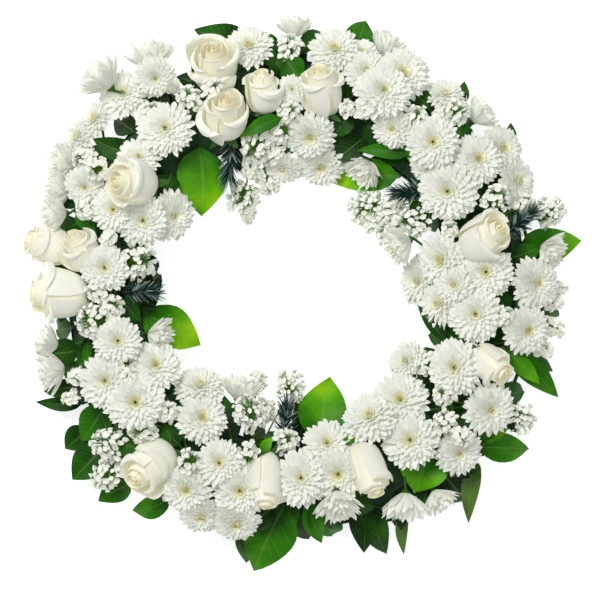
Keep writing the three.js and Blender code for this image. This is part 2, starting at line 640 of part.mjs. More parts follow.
// The ring of floral foam, with a plain hole for every stem, and the tray it is held in.
const FOAM_FLOOR = TRAY_WALL + FIT_GAP;
const FOAM_IN = RING_RADIUS - FOAM_WIDTH / 2;
const FOAM_OUT = RING_RADIUS + FOAM_WIDTH / 2;
const TRAY_IN = FOAM_IN - FIT_GAP - TRAY_WALL;
const TRAY_OUT = FOAM_OUT + FIT_GAP + TRAY_WALL;
const MERGE_DISTANCE = 0.001;

function ringSolid(profile) {
  const corners = [...profile, profile[0]].map(([radius, height]) => new THREE.Vector2(radius, height));
  const turned = new THREE.LatheGeometry(corners, RING_SEGMENTS).rotateX(Math.PI / 2);
  turned.deleteAttribute("normal");
  turned.deleteAttribute("uv");
  const { attributes: { position }, index } = mergeVertices(turned, MERGE_DISTANCE);
  const triVerts = new Uint32Array(index.array);
  return new wasm.Manifold(new wasm.Mesh({ numProp: 3, vertProperties: position.array, triVerts }));
}

const foamProfile = [
  [FOAM_IN, FOAM_FLOOR], [FOAM_OUT, FOAM_FLOOR], [FOAM_OUT, FOAM_TOP - FOAM_CHAMFER],
  [FOAM_OUT - FOAM_CHAMFER, FOAM_TOP], [FOAM_IN + FOAM_CHAMFER, FOAM_TOP],
  [FOAM_IN, FOAM_TOP - FOAM_CHAMFER],
];
const trayProfile = [
  [TRAY_IN, 0], [TRAY_OUT, 0], [TRAY_OUT, TRAY_HEIGHT], [TRAY_OUT - TRAY_WALL, TRAY_HEIGHT],
  [TRAY_OUT - TRAY_WALL, TRAY_WALL], [TRAY_IN + TRAY_WALL, TRAY_WALL],
  [TRAY_IN + TRAY_WALL, TRAY_HEIGHT], [TRAY_IN, TRAY_HEIGHT],
];

// Every head is placed before any is shaped, because each is pressed by its neighbours.
const numbered = (name, i) => `${name}_${String(i + 1).padStart(2, "0")}`;

function headsOf(kind, name, rows) {
  return rows.map((own, i) => own.map((row) => makeHead(kind, numbered(name, i), row)));
}

const single = (rows) => rows.map((row) => [row]);
const roses = headsOf("rose", "rose", single(ROSES));
const chrysanthemums = headsOf("chrysanthemum", "chrysanthemum_spray", CHRYSANTHEMUM_SPRAYS);
const statice = headsOf("statice", "statice_spray", STATICE_SPRAYS);
const firs = headsOf("fir", "fir_sprig", single(FIR_SPRIGS));
const heads = [roses, chrysanthemums, statice, firs].flat(2);
settle(heads);
wallOff(heads);

const wreath = new THREE.Group();

function addPart(name, body, finish) {
  const { vertProperties, triVerts } = body.getMesh();
  const geometry = new THREE.BufferGeometry();
  geometry.setAttribute("position", new THREE.BufferAttribute(vertProperties, 3));
  geometry.setIndex(new THREE.BufferAttribute(triVerts, 1));
  geometry.computeVertexNormals();
  const mesh = new THREE.Mesh(geometry, new THREE.MeshStandardMaterial(FINISH[finish]));
  mesh.name = name;
  wreath.add(mesh);
}

SALAL_STEMS.forEach((stem, i) => {
  const node = numbered("salal_stem", i);
  addPart(node, salalStem(node, stem), "salal");
});
const MAKERS = { rose: singleFlower, chrysanthemum: spray, statice: spray, fir: firSprig };
const NODE_SALT = 97;

[roses, chrysanthemums, statice, firs].flat().forEach((own, i) => {
  const [{ node, kind }] = own;
  addPart(node, MAKERS[kind](own, heads, NODE_SALT * (i + 1)), kind);
});
const foam = holes.reduce((whole, hole) => whole.subtract(hole), ringSolid(foamProfile));
addPart("foam_ring", foam, "foam");
addPart("tray", ringSolid(trayProfile), "tray");

// The middle of the wreath's outline, seen from above, is the origin.
const box = new THREE.Box3().setFromObject(wreath);
const middle = box.getCenter(new THREE.Vector3());
wreath.position.set(-middle.x, -middle.y, 0);

export default wreath;
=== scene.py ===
# %% [markdown]
# # A funeral wreath, dressed for the camera
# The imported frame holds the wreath's solids: roses, sprays of chrysanthemums and statice, salal
# stems, fir sprigs, a ring of wet foam and its tray. This lesson keeps every flower where its solid
# stands and gives it thin petals, florets, veins and colour. Everything is modelled in millimetres
# round the ring's middle and is brought into the frame, in metres, only when a piece is finished.

# %% Load the frame and measure it
import json
import math
import random
from types import SimpleNamespace

import bmesh
import bpy
from mathutils import Matrix, Vector
from mathutils.geometry import interpolate_bezier

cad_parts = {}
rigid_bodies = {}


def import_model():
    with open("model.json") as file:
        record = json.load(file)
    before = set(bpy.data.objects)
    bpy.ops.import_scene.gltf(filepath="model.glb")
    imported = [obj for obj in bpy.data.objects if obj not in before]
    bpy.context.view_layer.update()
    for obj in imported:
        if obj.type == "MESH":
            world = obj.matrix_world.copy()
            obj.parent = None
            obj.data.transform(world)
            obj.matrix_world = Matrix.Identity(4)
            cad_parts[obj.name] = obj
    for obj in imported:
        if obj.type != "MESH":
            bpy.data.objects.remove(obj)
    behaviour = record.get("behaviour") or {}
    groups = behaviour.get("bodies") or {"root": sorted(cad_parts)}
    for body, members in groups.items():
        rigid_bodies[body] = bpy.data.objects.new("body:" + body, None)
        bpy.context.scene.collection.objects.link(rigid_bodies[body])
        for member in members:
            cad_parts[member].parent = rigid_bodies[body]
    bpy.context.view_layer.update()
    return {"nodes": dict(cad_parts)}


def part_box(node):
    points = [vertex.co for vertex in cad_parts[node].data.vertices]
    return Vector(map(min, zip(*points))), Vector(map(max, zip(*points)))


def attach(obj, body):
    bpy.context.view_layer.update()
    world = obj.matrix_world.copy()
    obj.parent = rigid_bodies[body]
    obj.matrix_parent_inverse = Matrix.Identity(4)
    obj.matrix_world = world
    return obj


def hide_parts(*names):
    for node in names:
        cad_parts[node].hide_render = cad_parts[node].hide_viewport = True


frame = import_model()
scene = bpy.context.scene

MM = 0.001
TURN = 2 * math.pi
UP = Vector((0, 0, 1))
FOAM_WIDTH = 70
tray_low, tray_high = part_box("tray")
foam_low, foam_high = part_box("foam_ring")
RING_MIDDLE = (tray_low + tray_high) / 2
RING_MIDDLE.z = 0
FOAM_TOP = foam_high.z / MM
RING_RADIUS = (foam_high.x - foam_low.x) / 2 / MM - FOAM_WIDTH / 2
print(f"ring of {RING_RADIUS:.0f} mm radius, foam top at {FOAM_TOP:.0f} mm")

# %% [markdown]
# The photograph looks straight down on the wreath, and its pixels serve as a survey grid: one pixel
# is one millimetre, x to the right and y downwards. A camera could be set close with a wide lens,
# but then the flowers at the rim would lean outwards. A long lens from high above keeps them upright.

# %% Survey grid and camera
GRID_CENTRE = (297, 291)
PICTURE_MIDDLE = (300, 300)
PICTURE_SPAN = 600
CAMERA_HEIGHT = 5000
BLOOM_LEVEL = 70
SENSOR = 36


def on_grid(x, y, z=0):
    return Vector((x - GRID_CENTRE[0], GRID_CENTRE[1] - y, z))


def in_frame(point):
    return RING_MIDDLE + point * MM


camera_data = bpy.data.cameras.new("camera")
camera_data.sensor_width = SENSOR
camera_data.lens = SENSOR * (CAMERA_HEIGHT - BLOOM_LEVEL) / PICTURE_SPAN
camera_data.clip_end = 3 * CAMERA_HEIGHT * MM
camera = bpy.data.objects.new("camera", camera_data)
camera.location = in_frame(on_grid(*PICTURE_MIDDLE, CAMERA_HEIGHT))
scene.collection.objects.link(camera)
scene.camera = camera
print(f"camera with a {camera_data.lens:.0f} mm lens")

# %% [markdown]
# Each flower's place was read off the grid: x, y and breadth, then, where it doesn't simply
# face out of the dome, the compass direction and tilt of its face, a lift, and how many times as
# long as usual it is. These are the rows of the part's source, so that petals stand where solids do.
# Only the small statice sprigs, which fill gaps, have no solids of their own.

# %% Places of the flowers
ROSES = [
    [(214, 66, 60, 95, 36, 5)], [(226, 117, 58, 88, 36, 8)], [(263, 92, 44, 92, 62)],
    [(322, 92, 50, 103, 56, 0, 1.1)], [(133, 184, 56, 175, 42)], [(47, 246, 48, 165, 76)],
    [(82, 252, 46, 122, 58)], [(59, 295, 60, 178, 78, 4)], [(483, 238, 56, 30, 46)],
    [(491, 363, 44, 322, 62)], [(368, 467, 46, 290, 66, 0, 1.35)],
    [(267, 480, 42, 268, 66, 0, 1.4)], [(151, 467, 58, 218, 50)],
]
CHRYSANTHEMUMS = [
    [(103, 80, 46, 135, 78), (151, 58, 46, 100, 76), (123, 93, 46, 120, 16), (155, 77, 40, 285, 20),
     (172, 90, 24, 80, 30)],
    [(95, 119, 38), (78, 137, 38, 165, 50), (65, 162, 40, 172, 64), (60, 190, 40, 178, 76),
     (57, 213, 38, 180, 76), (85, 186, 38, 250, 20)],
    [(166, 129, 52), (139, 158, 40, 100, 20), (114, 210, 42), (143, 220, 50, 280, 10),
     (171, 215, 48, 340, 34)],
    [(105, 268, 46), (118, 341, 46), (49, 344, 36, 165, 84), (54, 369, 42, 190, 80),
     (156, 335, 36, 350, 72), (106, 380, 52)],
    [(155, 366, 50, 60, 22), (136, 402, 58), (200, 388, 48, 85, 44), (201, 419, 50),
     (240, 392, 40, 75, 78)],
    [(219, 463, 46), (187, 488, 50), (240, 490, 52), (202, 514, 44, 260, 42), (236, 521, 46, 272, 42)],
    [(327, 444, 46, 90, 18), (301, 478, 54), (338, 473, 54, 270, 10), (337, 500, 44, 275, 66)],
    [(371, 418, 54), (400, 401, 54, 90, 18), (410, 440, 54), (405, 503, 44, 268, 82),
     (438, 498, 34, 300, 78)],
    [(458, 452, 46), (489, 409, 50), (455, 368, 56), (408, 362, 40, 160, 34)],
    [(443, 260, 52), (420, 281, 48, 185, 30), (455, 285, 40), (486, 272, 52), (441, 304, 48),
     (476, 314, 54), (402, 243, 40, 205, 74)],
    [(535, 283, 50), (526, 330, 48), (549, 250, 36, 335, 66)],
    [(432, 143, 50), (432, 164, 42, 230, 24), (448, 191, 58), (477, 160, 50), (501, 149, 46, 20, 34),
     (479, 115, 36, 45, 80), (445, 95, 38, 80, 46), (516, 181, 44, 10, 46)],
    [(383, 92, 54), (402, 75, 54, 60, 24), (366, 72, 44), (387, 47, 36, 60, 72), (335, 51, 50, 95, 30),
     (362, 53, 34, 85, 42), (393, 128, 40, 230, 24)],
    [(292, 90, 28), (249, 47, 46, 95, 34), (295, 28, 34, 90, 84), (310, 135, 48), (321, 164, 48, 268, 36),
     (283, 166, 38, 250, 48), (366, 168, 36, 240, 62)],
]
STATICE = [
    [(98, 170, 30, 0, 6, 6)],
    [(151, 114, 28, 80, 30), (190, 99, 28, 110, 30, 6), (213, 90, 26, 60, 30, 14)],
    [(256, 145, 38, 240, 40), (283, 131, 30, 60, 20), (268, 180, 28, 285, 70), (242, 196, 36, 250, 78)],
    [(290, 47, 30, 90, 50), (290, 112, 26, 60, 20)],
    [(371, 107, 28, 30, 30), (415, 119, 32, 70, 30), (455, 113, 32, 40, 30)],
    [(497, 199, 34, 40, 30), (524, 203, 24, 40, 40), (551, 212, 34, 30, 66)],
    [(368, 207, 40, 200, 74), (415, 221, 36, 170, 40), (390, 232, 30, 220, 66), (450, 230, 22, 90, 20)],
    [(558, 289, 20, 10, 62), (504, 317, 24, 60, 30), (555, 328, 24, 350, 62), (545, 350, 20, 330, 60)],
    [(427, 365, 28, 200, 44), (443, 395, 26, 120, 30), (446, 424, 28, 180, 30), (460, 436, 24, 300, 30),
     (520, 418, 34, 350, 60)],
    [(250, 413, 40, 110, 30), (289, 388, 36, 88, 66), (286, 441, 30, 60, 20), (248, 455, 28, 300, 20)],
    [(192, 463, 32, 90, 20), (168, 412, 24, 60, 30), (143, 428, 34, 200, 30)],
    [(108, 445, 36, 150, 34), (107, 474, 36, 230, 44), (77, 377, 20, 190, 50), (70, 398, 18, 200, 60)],
    [(138, 262, 40, 20, 30), (97, 291, 24, 160, 30), (95, 320, 40, 190, 30), (125, 361, 28, 40, 14)],
]
STATICE_SPRIGS = [
    (86, 209, 24, 200, 30, 4), (110, 238, 18, 0, 20, 4), (347, 108, 18, 100, 30), (556, 303, 18, 0, 50),
    (130, 378, 22, 60, 10, 6), (248, 214, 18, 270, 80), (258, 380, 20, 95, 76),
    (113, 306, 24, 30, 20), (272, 152, 28, 250, 40), (250, 168, 22, 255, 60), (264, 412, 26, 80, 50),
    (372, 222, 22, 200, 70), (440, 118, 22, 60, 30), (362, 112, 16, 60, 20), (393, 206, 26, 200, 60),
    (83, 158, 26, 190, 30),
]
FIR_SPRIGS = [
    [(230, 161, 40, 265, 74)], [(412, 192, 36, 185, 56)], [(520, 222, 34, 40, 58)],
    [(141, 292, 30, 0, 60)], [(286, 419, 32, 85, 58, 14)],
]
print(sum(map(len, CHRYSANTHEMUMS)), "chrysanthemums and", sum(map(len, STATICE)), "heads of statice")

# %% [markdown]
# The flowers form a dome over the foam ring. A head's height follows from how far it stands off the
# middle of the ring, and heads that crowd each other settle one above the other. The numbers and the
# order of the rounds are those of the part's source, because a small change would move every bloom.

# %% Stand the heads on the dome
DOME_FOOT = 9
DOME_RISE = 72
DOME_REACH = 64
DOME_LIMIT = 1.15
LEAN_SHARE = 0.8
CROWDING = 0.6
HEAD_CEILING = 112
LEAF_CEILING = 36
SETTLE_ROUNDS = 80
SETTLE_SHARE = 0.25
STEM_ROOM = 13
HEAD_BELLY = 0.5
FULLNESS = 1.08
DEPTHS = {"rose": 1.05, "chrysanthemum": 0.56, "bowl": 0.64, "statice": 1.1, "fir": 1.4}
BOWL_FACING = 0.5


def off_ring(point):
    return math.hypot(point.x, point.y) - RING_RADIUS


def at_ring(angle, off, z):
    radius = RING_RADIUS + off
    return Vector((radius * math.cos(angle), radius * math.sin(angle), z))


def tilted(direction, tilt):
    turn, lean = math.radians(direction), math.radians(tilt)
    return Vector((math.sin(lean) * math.cos(turn), math.sin(lean) * math.sin(turn), math.cos(lean)))


def make_head(kind, node, x, y, breadth, direction=None, tilt=None, lift=0, stretch=1):
    at = on_grid(x, y)
    slope = max(-DOME_LIMIT, min(DOME_LIMIT, off_ring(at) / DOME_REACH))
    if tilt is None:
        direction = math.degrees(math.atan2(at.y, at.x))
        tilt = math.degrees(slope) * LEAN_SHARE
    at.z = DOME_FOOT + DOME_RISE * math.cos(slope) + lift
    faces = tilted(direction, tilt)
    form = "bowl" if kind == "chrysanthemum" and faces.z < BOWL_FACING else kind
    return SimpleNamespace(kind=kind, form=form, node=node, at=at, faces=faces, stretch=stretch,
                           reach=FULLNESS * breadth / 2, depth=stretch * breadth * DEPTHS[form],
                           walls=[])


def heads_of(kind, name, rows):
    return [[make_head(kind, f"{name}_{number:02d}", *row) for row in own]
            for number, own in enumerate(rows, 1)]


def head_floor(head):
    over_foam = abs(off_ring(head.at)) < FOAM_WIDTH / 2 + head.reach / 2
    return (FOAM_TOP + STEM_ROOM if over_foam else LEAF_CEILING) + HEAD_BELLY * head.reach


def settle(heads):
    crowded = []
    for i, first in enumerate(heads):
        for second in heads[i + 1:]:
            need = CROWDING * (first.reach + second.reach)
            apart = (second.at - first.at).xy.length
            if apart < need:
                crowded.append((first, second, math.sqrt(need ** 2 - apart ** 2)))
    for _ in range(SETTLE_ROUNDS):
        for first, second, clear in crowded:
            step = second.at.z - first.at.z
            lacking = clear - abs(step)
            if lacking > 0:
                upper, lower = (second, first) if step >= 0 else (first, second)
                upper.at.z = min(upper.at.z + SETTLE_SHARE * lacking, HEAD_CEILING)
                lower.at.z = max(lower.at.z - SETTLE_SHARE * lacking, head_floor(lower))


roses = heads_of("rose", "rose", ROSES)
chrysanthemums = heads_of("chrysanthemum", "chrysanthemum_spray", CHRYSANTHEMUMS)
statice = heads_of("statice", "statice_spray", STATICE)
firs = heads_of("fir", "fir_sprig", FIR_SPRIGS)
heads = [head for kind in (roses, chrysanthemums, statice, firs) for own in kind for head in own]
settle(heads)
print(len(heads), "heads, the highest at", round(max(head.at.z for head in heads)), "mm")

# %% [markdown]
# Petals give way where two blooms meet. A cloth simulation of thousands of petals would take hours,
# so each bloom gets a flat wall towards each close neighbour, and a petal's point is drawn back
# towards the middle of its bloom as it nears a wall. The walls stand a little further out than the
# solids' own, so that the tips of real petals slip between each other.

# %% Walls between neighbours
HEAD_GAP = 0.5
LEAST_SHARE = 0.3
FREE_SHARE = 0.84
SLIP = 3.5


def wall_off(heads):
    for i, first in enumerate(heads):
        for second in heads[i + 1:]:
            apart = (second.at - first.at).length
            if apart > first.reach + second.reach + HEAD_GAP:
                continue
            even = (apart ** 2 + first.reach ** 2 - second.reach ** 2) / (2 * apart ** 2)
            share = max(LEAST_SHARE, min(1 - LEAST_SHARE, even))
            normal = (second.at - first.at).normalized()
            first.walls.append((normal, share * apart + SLIP))
            second.walls.append((-normal, (1 - share) * apart + SLIP))
    for head in heads:
        head.walls.append((-UP, head.at.z - LEAF_CEILING))


def pressed(head, point):
    arm = point - head.at
    share = 1
    for normal, limit in head.walls:
        reach = arm.dot(normal)
        free = FREE_SHARE * limit
        if reach > free:
            rest = limit - free
            share = min(share, (free + rest * (1 - math.exp((free - reach) / rest))) / reach)
    return head.at + arm * share


def press(head, verts):
    for vert in verts:
        vert.co = pressed(head, vert.co)


wall_off(heads)
print(sum(len(head.walls) for head in heads), "walls")

# %% [markdown]
# Every finish below is a node material. Flower parts differ in colour from point to point, so the
# meshes carry three attributes: heart (how near to a flower's heart), tone (a shade of its own for
# each petal or leaf) and green (stem and sepal rather than petal). One helper turns the hex colours
# that a colour picker shows into the linear values that the renderer works in, one adds a node with
# its settings and links, and one lays tints over a colour by those attributes.

# %% Helpers for materials
# Sockets of a Mix node that are used for colours
MIX_SHARE, MIX_FIRST, MIX_SECOND, MIX_RESULT = 0, 6, 7, 2
ATTRIBUTES = ("heart", "tone", "green")


def srgb(hex_colour):
    channels = [int(hex_colour[i:i + 2], 16) / 255 for i in (1, 3, 5)]
    return [c / 12.92 if c <= 0.04045 else ((c + 0.055) / 1.055) ** 2.4 for c in channels] + [1]


def feed(tree, node, inputs):
    """Links each input to another node's output, or gives it a plain value."""
    for socket, value in inputs.items():
        if isinstance(value, bpy.types.NodeSocket):
            tree.links.new(value, node.inputs[socket])
        else:
            node.inputs[socket].default_value = value


def add(tree, kind, inputs, output=0, **settings):
    """Adds a node and returns one of its outputs."""
    node = tree.nodes.new("ShaderNode" + kind)
    for name, value in settings.items():
        setattr(node, name, value)
    feed(tree, node, inputs)
    return node.outputs[output]


def painted(tree, colour, **tints):
    """Lays tints over a colour, each as strongly as the mesh attribute of its name says."""
    for name, tint in tints.items():
        share = add(tree, "Attribute", {}, "Fac", attribute_name=name)
        inputs = {MIX_SHARE: share, MIX_FIRST: colour, MIX_SECOND: srgb(tint)}
        colour = add(tree, "Mix", inputs, MIX_RESULT, data_type="RGBA")
    return colour


def new_material(name):
    material = bpy.data.materials.new(name)
    material.use_nodes = True
    return material, material.node_tree, material.node_tree.nodes["Principled BSDF"]


print("colour of a white petal:", [round(c, 2) for c in srgb("#F7F8F6")])

# %% [markdown]
# A chrysanthemum's petal is matte and white, with faint lengthwise grooves. Towards the heart the
# young petals are pale yellow-green. The grooves follow the petal's own UV map and are about 1.2 mm
# wide, which is coarser than life, so that they show at all. Thin petals let light through, which
# keeps the shade between them pale. Tracing that light would be slow, so a faint glow stands in for it.

# %% Chrysanthemum petal and stem
STEM_GREEN = "#34601F"
PETAL_GLOW = 0.07
PETAL_SHINE = 0.3
GROOVE_DEPTH = 0.4
GROOVE_DETAIL = 3


def petal_material(name, pale, shade, heart, roughness, size, groove, relief,
                   green=STEM_GREEN, glow=PETAL_GLOW):
    """Size and groove are the breadth and length of a petal and of a groove in it, in millimetres."""
    material, tree, shader = new_material(name)
    scale = (size[0] / groove[0], size[1] / groove[1], 1)
    stretched = add(tree, "Mapping", {"Vector": add(tree, "TexCoord", {}, "UV"), "Scale": scale})
    streaks = add(tree, "TexNoise", {"Vector": stretched, "Scale": 1, "Detail": GROOVE_DETAIL})
    bump = add(tree, "Bump", {"Height": streaks, "Strength": relief, "Distance": GROOVE_DEPTH * MM})
    colour = painted(tree, srgb(pale), tone=shade, heart=heart, green=green)
    feed(tree, shader, {"Base Color": colour, "Normal": bump, "Roughness": roughness,
                        "Specular IOR Level": PETAL_SHINE, "Emission Color": colour,
                        "Emission Strength": glow})
    return material


chrysanthemum_petal = petal_material("chrysanthemum petal, matte", "#F7F8EE", "#ECEEE4", "#ECE6A2",
                                     0.62, (6, 24), (1.25, 15), 0.35)
print(chrysanthemum_petal.name)

# %% [markdown]
# A rose's petal is thicker and smoother, with a waxy sheen and only broad, soft waves. It is cream
# rather than white, and deep in the flower it turns to warm honey. The florets of statice are dry as
# paper and dull, in a yellowish green calyx. Both let more light through than a chrysanthemum does.

# %% Rose petal, and the papery floret of statice
# The glows are painted light, standing in for the light that passes through thin petals and florets
ROSE_GLOW = 0.11
ROSE_SHEEN = 0.15
STATICE_GLOW = 0.13
STATICE_GREEN = "#4F7A22"
rose_petal = petal_material("rose petal, waxy", "#F6F6E9", "#F1F1E0", "#F2E8BE",
                            0.5, (40, 48), (12.5, 30), 0.15, glow=ROSE_GLOW)
rose_shader = rose_petal.node_tree.nodes["Principled BSDF"]
rose_shader.inputs["Sheen Weight"].default_value = ROSE_SHEEN
statice_floret = petal_material("statice floret, papery", "#FAFAF4", "#E9EADF", "#D9DDAE",
                                0.8, (4, 8), (1.25, 5), 0.3, STATICE_GREEN, STATICE_GLOW)
print(rose_petal.name, "and", statice_floret.name)

# %% [markdown]
# A salal leaf is leathery and half glossy. Its midrib and side veins are paler. They could be modelled,
# but they are finer than the leaf's grid, so they are drawn on its UV map: u runs across the leaf and
# v from its stalk to its tip. A side vein repeats along a slanted line on either side of the midrib.

# %% Veins of a salal leaf
SIDE_VEINS = 9
VEIN_SLANT = 0.42
SIDE_VEIN_STRENGTH = 0.4
# Distances from the middle of a vein, as shares, where it starts to show and where it is full
MIDRIB_EDGE = (0.045, 0.012)
SIDE_VEIN_EDGE = (0.11, 0.02)


def leaf_veins(tree):
    across = add(tree, "SeparateXYZ", {"Vector": add(tree, "TexCoord", {}, "UV")}, "X")
    along = across.node.outputs["Y"]
    offset = add(tree, "Math", {0: across, 1: 0.5}, operation="SUBTRACT")
    aside = add(tree, "Math", {0: offset}, operation="ABSOLUTE")
    midrib = add(tree, "MapRange", {"Value": aside, "From Min": MIDRIB_EDGE[0],
                                    "From Max": MIDRIB_EDGE[1]})
    slant = add(tree, "Math", {0: aside, 1: -VEIN_SLANT, 2: along}, operation="MULTIPLY_ADD")
    count = add(tree, "Math", {0: slant, 1: SIDE_VEINS}, operation="MULTIPLY")
    step = add(tree, "Math", {0: count, 1: 0.5}, operation="PINGPONG")
    side = add(tree, "MapRange", {"Value": step, "From Min": SIDE_VEIN_EDGE[0],
                                  "From Max": SIDE_VEIN_EDGE[1], "To Max": SIDE_VEIN_STRENGTH})
    return add(tree, "Math", {0: midrib, 1: side}, operation="MAXIMUM")


print(SIDE_VEINS, "side veins along a leaf")

# %% [markdown]
# Each leaf has a green of its own, from almost black to yellow-green, and large soft patches of
# lighter and darker green, 34 mm across. The darkest greens are partly painted shade, for leaves that
# lie in the shade under the blooms, and the yellow-green is painted light, where light shines through
# a leaf. A leaf that lies with its dull underside up is marked by the heart attribute and turns
# grey-green.

# %% Salal leaf
# Greens of the ramp: its dark end is partly painted shade, its pale end painted light
DARKEST_LEAF = "#0A2404"
LEAF_GREENS = {0.2: "#1B5004", 0.45: "#2F7A02", 0.75: "#62B204"}
PALEST_LEAF = "#A2DA0C"
LEAF_UNDERSIDE = "#5C8038"
VEIN_GREEN = "#9CC765"
VEIN_TINT = 0.2
VEIN_RELIEF = 0.5
VEIN_DEPTH = 0.6
PATCH_SIZE = 34
PATCH_DETAIL = 2
PATCH_SHARE = 0.7
LEAF_ROUGHNESS = (0.34, 0.5)
LEAF_SHINE = 0.16


def leaf_material():
    material, tree, shader = new_material("salal leaf, leathery")
    veins = leaf_veins(tree)
    place = add(tree, "TexCoord", {}, "Object")
    patches = add(tree, "TexNoise", {"Vector": place, "Scale": 1 / (PATCH_SIZE * MM),
                                     "Detail": PATCH_DETAIL})
    shift = add(tree, "Math", {0: patches, 1: 0.5}, operation="SUBTRACT")
    tone = add(tree, "Attribute", {}, "Fac", attribute_name="tone")
    light = add(tree, "Math", {0: shift, 1: PATCH_SHARE, 2: tone}, operation="MULTIPLY_ADD",
                use_clamp=True)
    green = add(tree, "ValToRGB", {"Fac": light})
    stops = green.node.color_ramp.elements
    stops[0].color = srgb(DARKEST_LEAF)
    stops[1].color = srgb(PALEST_LEAF)
    for place_on_ramp, colour in LEAF_GREENS.items():
        stops.new(place_on_ramp).color = srgb(colour)
    turned = painted(tree, green, heart=LEAF_UNDERSIDE)
    share = add(tree, "Math", {0: veins, 1: VEIN_TINT}, operation="MULTIPLY")
    inputs = {MIX_SHARE: share, MIX_FIRST: turned, MIX_SECOND: srgb(VEIN_GREEN)}
    veined = add(tree, "Mix", inputs, MIX_RESULT, data_type="RGBA")
    height = add(tree, "Math", {0: veins, 1: -1}, operation="MULTIPLY")
    bump = add(tree, "Bump", {"Height": height, "Strength": VEIN_RELIEF, "Distance": VEIN_DEPTH * MM})
    gloss = add(tree, "MapRange", {"Value": patches, "To Min": LEAF_ROUGHNESS[0],
                                   "To Max": LEAF_ROUGHNESS[1]})
    feed(tree, shader, {"Base Color": veined, "Normal": bump, "Roughness": gloss,
                        "Specular IOR Level": LEAF_SHINE})
    return material


salal_leaf = leaf_material()
print(salal_leaf.name)

# %% [markdown]
# Fir needles are flat, dark blue-green and shiny, with silvery bands of wax on their undersides. Seen
# from afar a needle is either dark or silvery, so the heart attribute gives each needle one share of
# wax. The green attribute marks the brown twig here.

# %% Fir needle
NEEDLE_ROUGHNESS = 0.4


def needle_material():
    material, tree, shader = new_material("fir needle, waxy")
    colour = painted(tree, srgb("#08302A"), tone="#174C40", heart="#D4E0DC", green="#5B4A2C")
    feed(tree, shader, {"Base Color": colour, "Roughness": NEEDLE_ROUGHNESS})
    return material


fir_needle = needle_material()
print(fir_needle.name)

# %% [markdown]
# The foam is a block of fine open cells, dark green when it is soaked. The tray is a moulding with
# the slight texture of its mould. Both keep their own solids and only get a finish. The cells and the
# mould's grain, about 1 mm wide, give the relief, and clouds twelve times as wide vary the colour.

# %% Wet foam and tray
CLOUD_WIDTH = 12


def grained_material(name, dark, light, grain, relief, roughness):
    material, tree, shader = new_material(name)
    place = add(tree, "TexCoord", {}, "Object")
    cells = add(tree, "TexVoronoi", {"Vector": place, "Scale": 1 / (grain * MM)})
    cloud = add(tree, "TexNoise", {"Vector": place, "Scale": 1 / (CLOUD_WIDTH * grain * MM)})
    inputs = {MIX_SHARE: cloud, MIX_FIRST: srgb(dark), MIX_SECOND: srgb(light)}
    colour = add(tree, "Mix", inputs, MIX_RESULT, data_type="RGBA")
    bump = add(tree, "Bump", {"Height": cells, "Strength": relief, "Distance": grain / 2 * MM})
    feed(tree, shader, {"Base Color": colour, "Normal": bump, "Roughness": roughness})
    return material


floral_foam = grained_material("wet floral foam", "#16331A", "#2C5A2E", 1.2, 0.8, 0.85)
tray_plastic = grained_material("polypropylene, moulded", "#12291A", "#18351F", 0.8, 0.15, 0.45)
for node, finish in (("foam_ring", floral_foam), ("tray", tray_plastic)):
    frame["nodes"][node].data.materials.clear()
    frame["nodes"][node].data.materials.append(finish)
print(floral_foam.name, "and", tray_plastic.name)

# %% [markdown]
# Petals, leaves and lobes are all thin sheets. Each starts as a flat grid, is bent by a formula of
# its own, and then gets a real thickness, so that it is a closed body. A flower that comes often is
# made once as a mesh, and copies of it are appended, which is quicker than bending each petal anew.

# %% Thin sheets and copies


def new_bmesh():
    bm = bmesh.new()
    bm.loops.layers.uv.verify()
    for name in ATTRIBUTES:
        bm.verts.layers.float.new(name)
    return bm


def mark(bm, verts, **values):
    for name, value in values.items():
        layer = bm.verts.layers.float[name]
        for vert in verts:
            vert[layer] = value


def add_sheet(bm, across, along, thickness, shape):
    """A grid bent by shape(u, v), u from -1 to 1 across and v from 0 to 1 along, made solid."""
    grid = bmesh.ops.create_grid(bm, x_segments=across, y_segments=along, size=1, calc_uvs=True)
    for vert in grid["verts"]:
        point, marks = shape(vert.co.x, (vert.co.y + 1) / 2)
        vert.co = point
        mark(bm, [vert], **marks)
    faces = list(dict.fromkeys(face for vert in grid["verts"] for face in vert.link_faces))
    bmesh.ops.solidify(bm, geom=faces, thickness=thickness)


def append(bm, mesh):
    start = len(bm.verts)
    bm.from_mesh(mesh)
    bm.verts.ensure_lookup_table()
    return bm.verts[start:]


def as_mesh(bm, name):
    mesh = bpy.data.meshes.new(name)
    bmesh.ops.recalc_face_normals(bm, faces=bm.faces)
    bm.to_mesh(mesh)
    bm.free()
    return mesh


print("sheets carry", ", ".join(ATTRIBUTES))

# %% [markdown]
# A finished piece is scaled to metres, moved to the ring's place, and the solid it stands for is hidden.
# It is shaded smooth, except across edges that are sharper than the bends in a petal. Round stems
# are bevelled curves that are made meshes, since a curve keeps a tube round through every bend.

# %% Finished pieces and round stems
SHARP_ANGLE = math.radians(36)


def finish_piece(name, bm, material, slot, *nodes):
    bmesh.ops.scale(bm, vec=(MM, MM, MM), verts=bm.verts)
    bmesh.ops.translate(bm, vec=RING_MIDDLE, verts=bm.verts)
    mesh = as_mesh(bm, name)
    mesh.shade_smooth()
    mesh.set_sharp_from_angle(angle=SHARP_ANGLE)
    mesh.materials.append(material)
    made = bpy.data.objects.new(name, mesh)
    scene.collection.objects.link(made)
    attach(made, "root")
    if nodes:
        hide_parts(*nodes)


